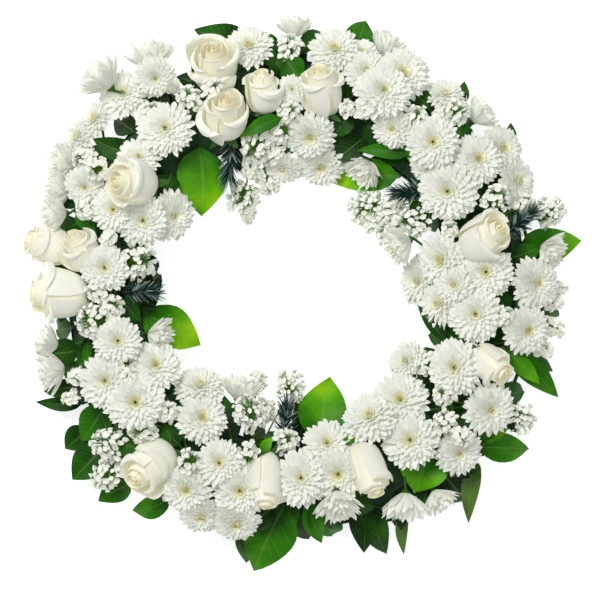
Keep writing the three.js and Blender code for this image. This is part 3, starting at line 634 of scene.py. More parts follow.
def add_tubes(bm, paths, **values):
    """Round stems along paths, each a list of points and a list of radii, with closed ends."""
    curve = bpy.data.curves.new("stems", "CURVE")
    curve.dimensions = "3D"
    curve.bevel_depth = 1
    curve.bevel_resolution = 1
    curve.use_fill_caps = True
    for points, radii in paths:
        spline = curve.splines.new("POLY")
        spline.points.add(len(points) - 1)
        for knot, point, radius in zip(spline.points, points, radii):
            knot.co = (*point, 1)
            knot.radius = radius
    holder = bpy.data.objects.new("stems", curve)
    mesh = bpy.data.meshes.new_from_object(holder)
    mark(bm, append(bm, mesh), **values)
    for data in (holder, mesh, curve):
        bpy.data.batch_remove([data])


print("edges stay sharp from", round(math.degrees(SHARP_ANGLE)), "degrees")

# %% [markdown]
# Each stem stands in the foam at the very place of its solid's stem, which is found from the solid's
# lowest corners. Above the foam it forks. A side stem is a Bezier curve that leaves the fork straight
# towards its flower and comes up to it from below, so that it stays hidden under the blooms it passes.

# %% Stems
FOAM_EDGE = FOAM_WIDTH / 2 - 6
FOOT_SPAN = 0.5
FORK_RISE = {"rose": 10, "chrysanthemum": 15, "statice": 7, "fir": 11}
STEM_RADIUS = {"rose": 2.6, "chrysanthemum": 2.4, "statice": 1.9, "fir": 2.2}
SIDE_RADIUS = {"rose": 2.4, "chrysanthemum": 1.3, "statice": 0.8, "fir": 1.8}
STEM_TONE = 0.5
BEND_STEPS = 9
BEND_PULL = 0.4
ARRIVAL_RISE = 1.6


def stem_foot(node):
    corners = {tuple(round(c, 5) for c in vert.co) for vert in frame["nodes"][node].data.vertices}
    lowest = min(corner[2] for corner in corners)
    feet = [Vector(corner) for corner in corners if corner[2] - lowest < FOOT_SPAN * MM]
    return (sum(feet, Vector()) / len(feet) - RING_MIDDLE) / MM


def bend(start, leaving, end, arriving, steps=BEND_STEPS):
    pull = BEND_PULL * (end - start).length
    return interpolate_bezier(start, start + leaving * pull, end - arriving * pull, end, steps)


def foot_of(head):
    return pressed(head, head.at - head.faces * head.depth / 2)


def side_stem(start, head):
    foot = foot_of(head)
    outwards = (foot - start).normalized()
    path = bend(start, outwards, foot, (outwards + ARRIVAL_RISE * UP).normalized())
    return path, [SIDE_RADIUS[head.kind]] * len(path)


def add_stems(bm, own):
    kind = own[0].kind
    bottom = stem_foot(own[0].node)
    fork = Vector((bottom.x, bottom.y, FOAM_TOP + FORK_RISE[kind]))
    main = [bottom, fork], [STEM_RADIUS[kind]] * 2
    add_tubes(bm, [main] + [side_stem(fork, head) for head in own], green=1, tone=STEM_TONE)


print("first rose's stem stands at", [round(c) for c in stem_foot("rose_01")])

# %% [markdown]
# A spray chrysanthemum is a flat dome of petals in layers. The outer ones are long and lie open, the
# inner ones are shorter and steeper, and the youngest stand upright round a tiny hollow. Blooms that
# are seen from the side are deeper bowls. A petal bends along an arc from its base to its tip, and is
# slim at its base, broad near the tip and round there.

# %% Chrysanthemum petals
# Rows of a layer: petals, length, width, rise at base and tip in degrees, base radius and height
OPEN_LAYERS = [
    (22, 0.92, 0.225, 14, -8, 0.10, 0.36),
    (22, 0.89, 0.22, 22, 1, 0.10, 0.41),
    (21, 0.82, 0.21, 30, 9, 0.09, 0.46),
    (19, 0.73, 0.20, 39, 17, 0.09, 0.50),
    (17, 0.62, 0.18, 48, 26, 0.08, 0.54),
    (14, 0.50, 0.16, 58, 37, 0.07, 0.57),
    (11, 0.38, 0.13, 68, 53, 0.06, 0.60),
    (7, 0.26, 0.10, 80, 76, 0.05, 0.62),
]
BOWL_LAYERS = [
    (23, 1.20, 0.24, 31, 52, 0.10, 0.16),
    (21, 1.18, 0.24, 41, 61, 0.09, 0.18),
    (18, 1.13, 0.24, 52, 70, 0.08, 0.20),
    (13, 1.06, 0.26, 63, 78, 0.07, 0.22),
    (10, 0.98, 0.22, 73, 82, 0.06, 0.24),
    (6, 0.90, 0.18, 81, 86, 0.04, 0.26),
]
SHOULDER = 0.75
BASE_WIDTH = 0.4
TIP_LOSS = 0.36


def spokes(angle):
    """The outward and the sideways direction at an angle round a flower's axis."""
    outward = Vector((math.cos(angle), math.sin(angle), 0))
    return outward, Vector((-outward.y, outward.x, 0))


def arc(radius, height, length, rise, fall, v):
    """A point on a petal's middle line, and how steep the petal is there."""
    steep = rise + (fall - rise) * v
    turn = fall - rise
    out = (math.sin(steep) - math.sin(rise)) / turn
    up = (math.cos(rise) - math.cos(steep)) / turn
    return radius + length * out, height + length * up, steep


def petal_outline(v):
    """Half the width of a petal at v, as a share of its greatest."""
    if v < SHOULDER:
        return BASE_WIDTH + (1 - BASE_WIDTH) * math.sin(math.pi / 2 * v / SHOULDER)
    return 1 - TIP_LOSS * ((v - SHOULDER) / (1 - SHOULDER)) ** 2


print(sum(layer[0] for layer in OPEN_LAYERS), "petals in an open bloom")

# %% [markdown]
# A layer is a loop, and chance gives each petal a turn, lean, length, width, roll and hollow of its
# own. The petals of bowls stand more loosely, so that each is seen on its own from the side. A calyx
# closes the bloom from below, and a few unopened florets sit in its midst. A handful of blooms are
# made once, at a reach of 1, and copied.

# %% Chrysanthemum blooms
PETAL_TURN = 0.25
PETAL_LEAN = 4
TIP_LEAN = 6
PETAL_ROLL = 18
LENGTH_CHANCE = (-0.09, 0.05)
WIDTH_CHANCE = (0.88, 1.1)
CUP_CHANCE = (0.15, 0.35)
TIP_ROUNDING = 0.1
PETAL_THICKNESS = 0.016
LONG_LAYERS = 4
HEART_RADIUS = 0.29
HEART_FADE = 1.3
CALYX_RADII = (0.07, 0.2)
CORE_KNOTS = 4
CORE_RADIUS = 0.06
CORE_RISE = 0.16
KNOT_RADIUS = 0.03
BLOOM_KINDS = 6
BUD_CLOSING = 20
BOWL_RIPENESS = 0.3
BOWL_LOOSENESS = 1.8


def add_core(bm, foot, level):
    """The green calyx below the petals and a few unopened florets in their midst."""
    calyx = bmesh.ops.create_cone(bm, cap_ends=True, segments=8, radius1=CALYX_RADII[0],
                                  radius2=CALYX_RADII[1], depth=foot)
    bmesh.ops.translate(bm, vec=(0, 0, foot / 2), verts=calyx["verts"])
    mark(bm, calyx["verts"], green=1)
    for k in range(CORE_KNOTS):
        knot = bmesh.ops.create_icosphere(bm, subdivisions=1, radius=KNOT_RADIUS)["verts"]
        outward = spokes(TURN * k / CORE_KNOTS)[0]
        bmesh.ops.translate(bm, vec=outward * CORE_RADIUS + UP * (level + CORE_RISE), verts=knot)
        mark(bm, knot, green=0.4, heart=1)


def chrysanthemum_bloom(seed, layers, ripeness, looseness=1, closing=0):
    chance = random.Random(seed)
    bm = new_bmesh()
    ripe = ripeness * chance.uniform(0.5, 1)
    for layer, (petals, length, width, rise, fall, radius, height) in enumerate(layers):
        for k in range(petals):
            place_in_ring = k + 0.5 * (layer % 2) + chance.uniform(-PETAL_TURN, PETAL_TURN)
            outward, sideways = spokes(TURN * place_in_ring / petals)
            lean = looseness * chance.uniform(-PETAL_LEAN, PETAL_LEAN) + closing
            tip_lean = lean + chance.uniform(-TIP_LEAN, TIP_LEAN)
            bends = math.radians(rise + lean), math.radians(fall + tip_lean)
            own_length = length * (1 + looseness * chance.uniform(*LENGTH_CHANCE))
            half = width * chance.uniform(*WIDTH_CHANCE) / 2
            roll = math.radians(looseness * chance.uniform(-PETAL_ROLL, PETAL_ROLL))
            cup = chance.uniform(*CUP_CHANCE)
            tone = chance.random()

            def shape(u, v):
                rounded = v * (1 - TIP_ROUNDING * u * u * v ** 3)
                out, up, steep = arc(radius, height, own_length, *bends, rounded)
                normal = UP * math.cos(steep) - outward * math.sin(steep)
                across = sideways * math.cos(roll) + normal * math.sin(roll)
                w = half * petal_outline(v)
                point = outward * out + UP * up + across * (u * w) + normal * (cup * u * u * w)
                heart = ripe * max(0, 1 - point.xy.length / HEART_RADIUS) ** HEART_FADE
                return point, {"heart": heart, "tone": tone}

            add_sheet(bm, 2, 4 if layer < LONG_LAYERS else 3, PETAL_THICKNESS, shape)
    add_core(bm, layers[0][6], layers[-1][6])
    return as_mesh(bm, "chrysanthemum bloom")


open_blooms = [chrysanthemum_bloom(seed, OPEN_LAYERS, 1) for seed in range(BLOOM_KINDS)]
bowl_blooms = [chrysanthemum_bloom(20 + seed, BOWL_LAYERS, BOWL_RIPENESS, BOWL_LOOSENESS)
               for seed in range(BLOOM_KINDS)]
half_open = [chrysanthemum_bloom(40, BOWL_LAYERS, BOWL_RIPENESS, closing=BUD_CLOSING)]
print(len(open_blooms[0].polygons), "faces in an open bloom,", len(bowl_blooms[0].polygons), "in a bowl")

# %% [markdown]
# A spray is one piece: its blooms, turned by chance about their own axes and pressed by their
# neighbours, and its stems. Blooms come out a little larger than their solids, since petals taper.

# %% Place the chrysanthemum sprays
BUD_REACH = 14
SWELL = {"chrysanthemum": 1.06, "bowl": 1.12, "rose": 1}


def turned_to(direction):
    return direction.to_track_quat("Z", "Y").to_matrix().to_4x4()


def foot_frame(head):
    """The matrix that stands a flower on its head's foot and turns it to face the head's way."""
    return Matrix.Translation(head.at - head.faces * head.depth / 2) @ turned_to(head.faces)


def place(bm, mesh, head, turn):
    """A copy of a flower of reach 1, brought to its head's place and pressed by its neighbours."""
    size = SWELL[head.form] * head.reach
    sized = Matrix.Diagonal((size, size, size * head.stretch, 1))
    verts = append(bm, mesh)
    bmesh.ops.transform(bm, matrix=foot_frame(head) @ Matrix.Rotation(turn, 4, "Z") @ sized, verts=verts)
    press(head, verts)


chance = random.Random(11)
for own in chrysanthemums:
    bm = new_bmesh()
    for head in own:
        kinds = bowl_blooms if head.form == "bowl" else open_blooms
        if head.reach < BUD_REACH:
            kinds = half_open
        place(bm, chance.choice(kinds), head, chance.uniform(0, TURN))
    add_stems(bm, own)
    finish_piece(own[0].node + "_blooms", bm, chrysanthemum_petal, "chrysanthemum_petal", own[0].node)
print(len(chrysanthemums), "chrysanthemum sprays")

# %% [markdown]
# A rose's petal follows a profile from its base to its neck, which is a Bezier curve, and from there
# its lip rolls back, further on the outer petals. Inner petals lean over the heart and reach higher,
# outer ones belly out. Open and budding roses differ only in their breadth at the rim and the belly.

# %% Rose profile
ROSE_DEPTH = 2 * DEPTHS["rose"] / FULLNESS
LIP_START = 0.82
OUTER_FROM = 0.4
LIP_CURL = (40, 100)
# Share of the reach at the rim and at the belly
OPEN_ROSE = (0.80, 0.70)
BUDDING_ROSE = (0.74, 0.82)


def rose_profile(t, v, roll, form):
    """Radius and height on the middle line of a petal, t from the heart (0) to the outside (1)."""
    rim_share, belly_share = form
    outer = max(0, (t - OUTER_FROM) / (1 - OUTER_FROM))
    lip = roll * (0.03 + 0.2 * outer ** 1.2)
    rim = 0.02 + rim_share * t ** 1.15
    lean = 0.15 * (1 - t) ** 0.5
    top = ROSE_DEPTH * (1 - 0.05 * t - 0.12 * t * t)
    base = Vector((0.04 + 0.12 * t, 0.03, 0))
    belly = Vector((1.1 * (0.02 + belly_share * t + 1.5 * lean), 0.14 * top, 0))
    neck = Vector((rim + lean + 0.12 * (belly_share - rim_share), 0.74 * top, 0))
    body = min(1, v / LIP_START)
    steps = (1 - body) ** 3, 3 * body * (1 - body) ** 2, 3 * body ** 2 * (1 - body), body ** 3
    point = base * steps[0] + belly * steps[1] + neck * steps[2] + Vector((rim, top, 0)) * steps[3]
    curl = max(0, (v - LIP_START) / (1 - LIP_START)) * math.radians(LIP_CURL[0] + LIP_CURL[1] * outer)
    return point.x + lip * math.sin(curl), point.y - 0.8 * lip * (1 - math.cos(curl))


print(f"an open rose is {ROSE_DEPTH:.2f} times as deep as its reach")

# %% [markdown]
# A rose is a spiral. Each petal stands a golden angle further round than the one inside it and wraps
# round the bud, the inner ones almost all the way. The outer ones are of uneven height and flare out
# along their edges, so that each is seen apart from the next. Below them five narrow sepals spread.

# %% Rose bloom
ROSE_PETALS = 12
GOLDEN_ANGLE = math.radians(137.5)
ROSE_THICKNESS = 0.022
# Half the angle that the innermost petal wraps, and what the outermost wraps less
WRAP = (125, 68)
WRAP_CHANCE = (0.95, 1.08)
ROSE_TURN = 0.25
ROSE_SHIFT = 0.05
ROSE_SPIRAL = 0.11
ROSE_RIPPLE = 0.07
RIPPLE_TURN = 2.6
EDGE_FLARE = 0.08
HIP_RADII = (0.09, 0.2)
HIP_HEIGHT = 0.22
HIP_LEVEL = 0.07
SEPALS = 5
SEPAL_ROOT = (0.12, 0.06)
SEPAL_RISE = (5, 25)
SEPAL_FALL = (-60, -10)
SEPAL_LENGTH = 0.7
SEPAL_WIDTH = 0.13


def rose_bloom(seed, form):
    chance = random.Random(seed)
    bm = new_bmesh()
    start = chance.uniform(0, TURN)
    for k in range(ROSE_PETALS):
        t = k / (ROSE_PETALS - 1)
        middle = start + k * GOLDEN_ANGLE + chance.uniform(-ROSE_TURN, ROSE_TURN)
        wrap = math.radians(WRAP[0] - WRAP[1] * t ** 0.6) * chance.uniform(*WRAP_CHANCE)
        tall = chance.uniform(0.96 - 0.2 * max(0, t - 0.5) / 0.5, 1.02)
        drop = 0.09 + 0.12 * t
        shift = Vector([chance.uniform(-ROSE_SHIFT, ROSE_SHIFT) for axis in "xy"] + [0])
        wave = chance.uniform(0, TURN)
        tone = chance.random()

        def shape(u, v):
            radius, height = rose_profile(t, v * (1 - drop * abs(u) ** 2.2), 1 - 0.7 * u * u, form)
            narrow = 0.5 + 0.5 * math.sin(math.pi / 2 * min(1, v / 0.65))
            ripple = ROSE_RIPPLE * t * v ** 3 * math.sin(RIPPLE_TURN * u + wave)
            flare = EDGE_FLARE * t * t * abs(u) ** 6 * v
            outward = spokes(middle + u * wrap * narrow)[0]
            point = outward * (radius * (1 + ROSE_SPIRAL * u) + ripple + flare) + UP * (height * tall)
            return point + shift * v, {"heart": (1 - t) ** 1.5 * (1 - 0.4 * v), "tone": tone,
                                       "green": 0.3 * t * max(0, 1 - v / 0.3)}

        add_sheet(bm, 12, 11, ROSE_THICKNESS, shape)
    add_sepals(bm, chance)
    return as_mesh(bm, "rose bloom")


def add_sepals(bm, chance):
    hip = bmesh.ops.create_cone(bm, cap_ends=True, segments=10, radius1=HIP_RADII[0],
                                radius2=HIP_RADII[1], depth=HIP_HEIGHT)
    bmesh.ops.translate(bm, vec=(0, 0, HIP_LEVEL), verts=hip["verts"])
    mark(bm, hip["verts"], green=1, tone=STEM_TONE)
    for k in range(SEPALS):
        outward, sideways = spokes(TURN * k / SEPALS + chance.uniform(-0.2, 0.2))
        bends = math.radians(chance.uniform(*SEPAL_RISE)), math.radians(chance.uniform(*SEPAL_FALL))

        def shape(u, v):
            out, up, steep = arc(*SEPAL_ROOT, SEPAL_LENGTH, *bends, v)
            half = SEPAL_WIDTH * math.sin(math.pi * (0.25 + 0.75 * v)) + 0.004
            return outward * out + UP * up + sideways * (u * half), {"green": 1, "tone": STEM_TONE}

        add_sheet(bm, 2, 5, ROSE_THICKNESS, shape)


print(ROSE_PETALS, "petals in a rose")

# %% [markdown]
# Four roses of each form are made once. Each place takes one of them in turn and turns it by a golden
# angle more than the last, so that no two that are alike face the same way.

# %% Place the roses
ROSE_KINDS = 4
BUDDING_FROM = 9
open_roses = [rose_bloom(100 + seed, OPEN_ROSE) for seed in range(ROSE_KINDS)]
budding_roses = [rose_bloom(200 + seed, BUDDING_ROSE) for seed in range(ROSE_KINDS)]
for number, own in enumerate(roses, 1):
    bm = new_bmesh()
    kinds = budding_roses if number >= BUDDING_FROM else open_roses
    place(bm, kinds[number % ROSE_KINDS], own[0], number * GOLDEN_ANGLE)
    add_stems(bm, own)
    finish_piece(own[0].node + "_bloom", bm, rose_petal, "rose_petal", own[0].node)
print(len(open_roses[0].polygons), "faces in a rose")

# %% [markdown]
# Statice carries dozens of papery funnels, each in a green calyx on a short stalk. One funnel is a
# cone whose rim is drawn in and out into five lobes and whose lid is pushed down into a cup. It comes
# by the thousand, so it has only a few dozen faces.

# %% Statice floret
FLORET_LENGTH = 6
FLORET_RADIUS = 3.7
FLORET_FOOT = 0.7
FLORET_POINTS = 10
CUP_DEPTH = 2.2
LOBE_NOTCH = 0.52
LOBE_DROP = 0.9
CALYX_GREEN = 0.7
CUP_HEART = 0.3


def floret_mesh():
    bm = new_bmesh()
    bmesh.ops.create_cone(bm, cap_ends=True, cap_tris=True, segments=FLORET_POINTS, radius1=FLORET_FOOT,
                          radius2=FLORET_RADIUS, depth=FLORET_LENGTH)
    bmesh.ops.translate(bm, vec=(0, 0, FLORET_LENGTH / 2), verts=bm.verts)
    for vert in bm.verts:
        top = vert.co.z > FLORET_LENGTH / 2
        middle = vert.co.xy.length < FLORET_FOOT / 2
        if top and middle:
            vert.co.z -= CUP_DEPTH
        elif top:
            step = round(math.atan2(vert.co.y, vert.co.x) / TURN * FLORET_POINTS)
            notch, drop = (LOBE_NOTCH, 0) if step % 2 else (1, LOBE_DROP)
            vert.co = Vector((vert.co.x * notch, vert.co.y * notch, vert.co.z - drop))
        mark(bm, [vert], green=0 if top else CALYX_GREEN, heart=CUP_HEART if top and middle else 0)
    return as_mesh(bm, "statice floret")


floret = floret_mesh()
print(len(floret.polygons), "faces in a floret")

# %% [markdown]
# A head of statice is an egg-shaped cloud. Its florets stand out of the head's axis on a golden
# spiral, at chance depths, so that the green shows between them.

# %% Statice heads
FLORETS_PER_MM = 1.6
LEAST_FLORETS = 8
FLORET_SPREAD = (0.5, 0.98)
FLORET_TURN = 0.3
FLORET_SIZES = (0.65, 1.1)
# Where the florets start on the head's axis and how far they reach, as shares of its depth
HEAD_START = 0.22
HEAD_SPAN = 0.76
HEAD_BULGE = 0.58
STALK_DROP = 0.34
STALK_RADII = [0.5, 0.45]
AXIS_RADII = {0: 1.0, 0.35: 0.9, 0.7: 0.6}


def add_statice_head(bm, head, chance):
    stand = foot_frame(head)
    count = round(FLORETS_PER_MM * 2 * head.reach) + LEAST_FLORETS
    stalks = []
    for k in range(count):
        level = HEAD_START + HEAD_SPAN * (k + 0.5) / count
        belly = math.sqrt(max(0, 1 - ((level - 0.5) / HEAD_BULGE) ** 2))
        radius = head.reach * belly * chance.uniform(*FLORET_SPREAD)
        outward = spokes(k * GOLDEN_ANGLE + chance.uniform(-FLORET_TURN, FLORET_TURN))[0]
        tip = outward * radius + UP * (level * head.depth)
        root = UP * (max(0.02, level - STALK_DROP) * head.depth)
        along = (tip - root).normalized()
        base = tip - along * FLORET_LENGTH
        size = Matrix.Scale(chance.uniform(*FLORET_SIZES), 4)
        verts = append(bm, floret)
        mark(bm, verts, tone=chance.random())
        matrix = stand @ Matrix.Translation(base) @ turned_to(along) @ size
        bmesh.ops.transform(bm, matrix=matrix, verts=verts)
        press(head, verts)
        stalks.append(([pressed(head, stand @ point) for point in (root, base)], STALK_RADII))
    axis = [pressed(head, stand @ (UP * (share * head.depth))) for share in AXIS_RADII]
    add_tubes(bm, stalks + [(axis, AXIS_RADII.values())], green=1, tone=STEM_TONE)


chance = random.Random(13)
for own in statice:
    bm = new_bmesh()
    for head in own:
        add_statice_head(bm, head, chance)
    add_stems(bm, own)
    finish_piece(own[0].node + "_florets", bm, statice_floret, "statice_floret", own[0].node)
print(len(statice), "sprays of statice")

# %% [markdown]
# The photograph also shows small sprigs of statice in the gaps. They have no solids, so their stems
# start in the foam below them, or at its edge.

# %% Statice between the blooms
ROOT_DEPTH = 6


def foam_root(point):
    """The place in the foam's top that is nearest to a point."""
    off = max(-FOAM_EDGE, min(FOAM_EDGE, off_ring(point)))
    return at_ring(math.atan2(point.y, point.x), off, FOAM_TOP - ROOT_DEPTH)


bm = new_bmesh()
for row in STATICE_SPRIGS:
    head = make_head("statice", None, *row)
    add_statice_head(bm, head, chance)
    add_tubes(bm, [side_stem(foam_root(head.at), head)], green=1, tone=STEM_TONE)
finish_piece("statice_between_the_blooms", bm, statice_floret, "statice_floret")
print(len(STATICE_SPRIGS), "small sprigs of statice")

# %% [markdown]
# A fir sprig is a slim twig with flat needles in close rows all round it, which lie closer to the twig
# towards its tip. A needle is a short cone of four sides, pressed flat. Chance gives a few of them
# their silvery wax.

# %% Fir sprigs
NEEDLE_LENGTH = 18
NEEDLE_RADII = (1.4, 0.35)
NEEDLE_FLATNESS = 0.4
NEEDLE_ROWS = 16
NEEDLES_IN_ROW = 8
NEEDLE_TURN = 0.2
NEEDLE_SIZES = (0.8, 1.05)
SPLAY = (38, 58)
SPLAY_LOSS = 22
FIR_REACH = 0.32
FIR_TWIG = [1.8, 0.9]
# Share of wax on a needle, drawn by chance
WAXES = (0, 0, 0, 0.2, 0.7)


def needle_mesh():
    bm = new_bmesh()
    bmesh.ops.create_cone(bm, cap_ends=True, segments=4, radius1=NEEDLE_RADII[0], radius2=NEEDLE_RADII[1],
                          depth=NEEDLE_LENGTH)
    bmesh.ops.translate(bm, vec=(0, 0, NEEDLE_LENGTH / 2), verts=bm.verts)
    bmesh.ops.scale(bm, vec=(1, NEEDLE_FLATNESS, 1), verts=bm.verts)
    return as_mesh(bm, "fir needle")


def add_fir(bm, head, chance):
    facing = turned_to(head.faces)
    start = foot_of(head)
    tip = pressed(head, head.at + head.faces * head.depth * FIR_REACH)
    for row in range(NEEDLE_ROWS):
        root = Matrix.Translation(start.lerp(tip, (row + 0.5) / NEEDLE_ROWS))
        for k in range(NEEDLES_IN_ROW):
            place_in_row = k + 0.5 * (row % 2) + chance.uniform(-NEEDLE_TURN, NEEDLE_TURN)
            angle = TURN * place_in_row / NEEDLES_IN_ROW
            splay = math.radians(chance.uniform(*SPLAY) - SPLAY_LOSS * row / NEEDLE_ROWS)
            verts = append(bm, needle)
            mark(bm, verts, tone=chance.random(), heart=chance.choice(WAXES))
            size = Matrix.Scale(chance.uniform(*NEEDLE_SIZES), 4)
            roll = Matrix.Rotation(chance.uniform(0, TURN), 4, "Z")
            lean = Matrix.Rotation(angle, 4, "Z") @ Matrix.Rotation(splay, 4, "X") @ roll
            bmesh.ops.transform(bm, matrix=root @ facing @ lean @ size, verts=verts)
            press(head, verts)
    add_tubes(bm, [([start, tip], FIR_TWIG)], green=1)


needle = needle_mesh()
chance = random.Random(14)
for own in firs:
    bm = new_bmesh()
    add_fir(bm, own[0], chance)
    add_stems(bm, own)
    finish_piece(own[0].node + "_needles", bm, fir_needle, "fir_needle", own[0].node)
print(NEEDLE_ROWS * NEEDLES_IN_ROW, "needles on a sprig")

# %% [markdown]
# A salal leaf is egg-shaped with a drawn-out tip. It is folded a little along its midrib, arched from
# stalk to tip and waved along its edges. Near its base, which other leaves and blooms shade, it is
# painted darker than at its tip: painted shade.

# %% A leaf
LEAF_THICKNESS = 0.7
LEAF_ARCH = 0.07
LEAF_FOLD = 0.3
LEAF_WAVE = 0.05
LEAF_WAVES = 1.2
LEAF_BOW = 0.05
# How far the broadest place lies towards the stalk, how full the outline is, and its least share
EGG_SHIFT = 0.72
EGG_FULLNESS = 0.88
LEAST_WIDTH = 0.02
# Painted shade near the stalk: share of a leaf's tone at its base, and where it has its full tone
STALK_SHADE_SHARE = 0.4
STALK_SHADE_END = 0.7


def leaf_outline(v):
    """Half the width of a leaf at v, as a share of its greatest."""
    return max(LEAST_WIDTH, math.sin(math.pi * v ** EGG_SHIFT) ** EGG_FULLNESS)


def add_leaf(bm, base, tip, width, tone, chance, grid, back=0):
    along = tip - base
    sideways = along.cross(UP).normalized()
    normal = sideways.cross(along).normalized()
    phase = chance.uniform(0, TURN)
    bow = chance.uniform(-LEAF_BOW, LEAF_BOW) * along.length

    def shape(u, v):
        half = width / 2 * leaf_outline(v)
        lift = LEAF_ARCH * along.length * math.sin(math.pi * v) + LEAF_FOLD * half * abs(u)
        ripple = LEAF_WAVE * width * u * math.sin(LEAF_WAVES * TURN * v + phase)
        spread = sideways * (u * half + bow * math.sin(math.pi * v))
        shade = STALK_SHADE_SHARE + (1 - STALK_SHADE_SHARE) * min(1, v / STALK_SHADE_END)
        return base + along * v + spread + normal * (lift + ripple), {"tone": tone * shade, "heart": back}

    add_sheet(bm, *grid, LEAF_THICKNESS, shape)


print(f"a leaf arches by {LEAF_ARCH:.0%} of its length")

# %% [markdown]
# Rows give where a leaf's base and tip lie, its width and the heights of both, and last its tone from
# dark (0) to yellow-green (1). They are the rows of the part's source, but for a few leaves that lie
# a little higher, wider or further out here, to clear the leaves beside them and show past the blooms.
# The number before a stem's leaves says which wall of the foam its twig runs along: the outer (1),
# the inner (-1), or neither (0), where the leaf stands on the foam's top.

# %% Salal stems
TWIG_RADIUS = 1.9
STALK_RADIUS = 1.1
TWIG_HEIGHT = 25
TWIG_OFFSET = 7
TWIG_ROOT = 15
TWIG_STEP = 0.1
STALK_LENGTH = 7
RIM_RISE = 5
TWIG_TONE = 0.3
LARGE_LEAF_GRID = (6, 9)
# Leaves, named by their bases, that show their dull undersides
TURNED_LEAVES = [(478, 460), (405, 505)]
SALAL_STEMS = [
    (1, [(248, 38, 193, 27, 30, 27, 24, 0.25), (278, 44, 255, 28, 15, 24, 30, 0.75),
         (300, 52, 325, 30, 22, 22, 16, 0.45)]),
    (1, [(352, 55, 366, 18, 32, 26, 22, 0.38), (368, 44, 388, 43, 12, 20, 18, 0.2),
         (464, 102, 466, 79, 13, 25, 20, 0.3)]),
    (1, [(513, 145, 513, 121, 13, 25, 22, 0.25), (520, 204, 541, 208, 15, 25, 26, 0.3),
         (520, 245, 584, 240, 36, 28, 22, 0.7), (540, 309, 562, 316, 14, 24, 20, 0.3)]),
    (1, [(505, 342, 561, 398, 28, 29, 20, 0.5), (512, 345, 556, 372, 20, 20, 10, 0.25),
         (482, 440, 509, 430, 16, 37, 40, 0.8), (480, 448, 531, 451, 30, 22, 16, 0.6)]),
    (1, [(478, 460, 470, 525, 19, 33, 26, 0.45), (440, 470, 467, 504, 40, 24, 12, 0.15),
         (405, 505, 405, 557, 13, 26, 22, 0.3)]),
    (1, [(372, 505, 387, 557, 26, 20, 12, 0.2), (358, 500, 365, 555, 28, 29, 24, 0.15),
         (309, 500, 322, 545, 22, 26, 22, 0.55)]),
    (1, [(286, 505, 253, 573, 54, 29, 22, 0.5), (290, 500, 294, 540, 18, 18, 10, 0.5),
         (240, 525, 246, 566, 20, 18, 10, 0.35), (170, 500, 131, 513, 24, 26, 22, 0.5)]),
    (1, [(130, 485, 96, 503, 26, 26, 20, 0.45), (100, 450, 70, 481, 36, 29, 24, 0.32),
         (85, 430, 62, 450, 28, 20, 12, 0.35), (105, 405, 80, 442, 34, 33, 31, 0.48),
         (80, 405, 33, 403, 15, 26, 20, 0.15), (80, 385, 41, 392, 19, 32, 28, 0.2)]),
    (0, [(428, 450, 416, 493, 50, 58, 50, 0.72)]),
    (0, [(199, 146, 200, 215, 52, 46, 26, 0.8)]),
    (-1, [(400, 175, 326, 178, 34, 27, 20, 0.9)]),
    (-1, [(320, 445, 331, 378, 50, 27, 20, 0.72)]),
    (-1, [(142, 312, 199, 346, 44, 27, 20, 1)]),
]


def salal_stem(node, wall, leaves):
    bm = new_bmesh()
    twig_off = wall * (FOAM_WIDTH / 2 + TWIG_OFFSET)
    leaf_off = FOAM_WIDTH / 2 + TWIG_OFFSET + STALK_LENGTH
    stalks, angles = [], []
    for x0, y0, x1, y1, width, z0, z1, tone in leaves:
        base = on_grid(x0, y0, z0)
        angle = math.atan2(base.y, base.x)
        path = [at_ring(angle, twig_off, TWIG_HEIGHT), base]
        if not wall:
            path = [base - UP * TWIG_ROOT, base]
        elif wall * off_ring(base) < leaf_off:
            base.z = max(z0, FOAM_TOP + RIM_RISE)
            path.insert(1, at_ring(angle, twig_off, FOAM_TOP))
        back = (x0, y0) in TURNED_LEAVES
        add_leaf(bm, base, on_grid(x1, y1, z1), width, tone, chance, LARGE_LEAF_GRID, back)
        angles.append(angle)
        stalks.append((path, [TWIG_RADIUS] + [STALK_RADIUS] * (len(path) - 1)))
    if wall:
        first, last = min(angles), max(angles)
        steps = max(2, round((last - first) / TWIG_STEP))
        run = [at_ring(first + (last - first) * k / steps, twig_off, TWIG_HEIGHT)
               for k in range(steps + 1)]
        root = at_ring(first, wall * (FOAM_WIDTH / 2 - TWIG_ROOT), TWIG_HEIGHT)
        stalks.append(([root] + run, [TWIG_RADIUS] * (len(run) + 1)))
    add_tubes(bm, stalks, tone=TWIG_TONE)
    finish_piece(node + "_leaves", bm, salal_leaf, "salal_leaf", node)


chance = random.Random(15)
for number, (wall, leaves) in enumerate(SALAL_STEMS, 1):
    salal_stem(f"salal_stem_{number:02d}", wall, leaves)
print(sum(len(leaves) for wall, leaves in SALAL_STEMS), "large leaves")

# %% [markdown]
# Between the blooms the photograph shows leaves and deep green shade, never the foam. The foam is
# therefore covered first with a bed of small leaves laid all round by chance, except where a large
# leaf lies on the top, and its walls with a skirt of leaves that hang over the tray.

# %% Leaves that cover the foam
SMALL_LEAF_GRID = (4, 6)
BED_LEAVES = 64
PLACE_CHANCE = 0.3
BED_OFFSETS = (-22, 2, 24)
BED_SPREAD = 6
BED_RISE = (1, 5)
BED_SWING = 1.3
BED_SLOPE = (-0.05, 0.3)
BED_LENGTH = (36, 52)
BED_WIDTH = (22, 32)
# Dark greens for the bed: painted shade, for the deep shade under the blooms
BED_SHADE_TONE = (0, 0.25)
SKIRT_LEAVES = {1: 40, -1: 26}
SKIRT_INSET = 3
SKIRT_DRIFT = 3
SKIRT_SWING = 0.12
SKIRT_REACH = (14, 26)
SKIRT_TIP = (3, 12)
SKIRT_WIDTH = (24, 34)
SKIRT_TONE = (0.05, 0.35)
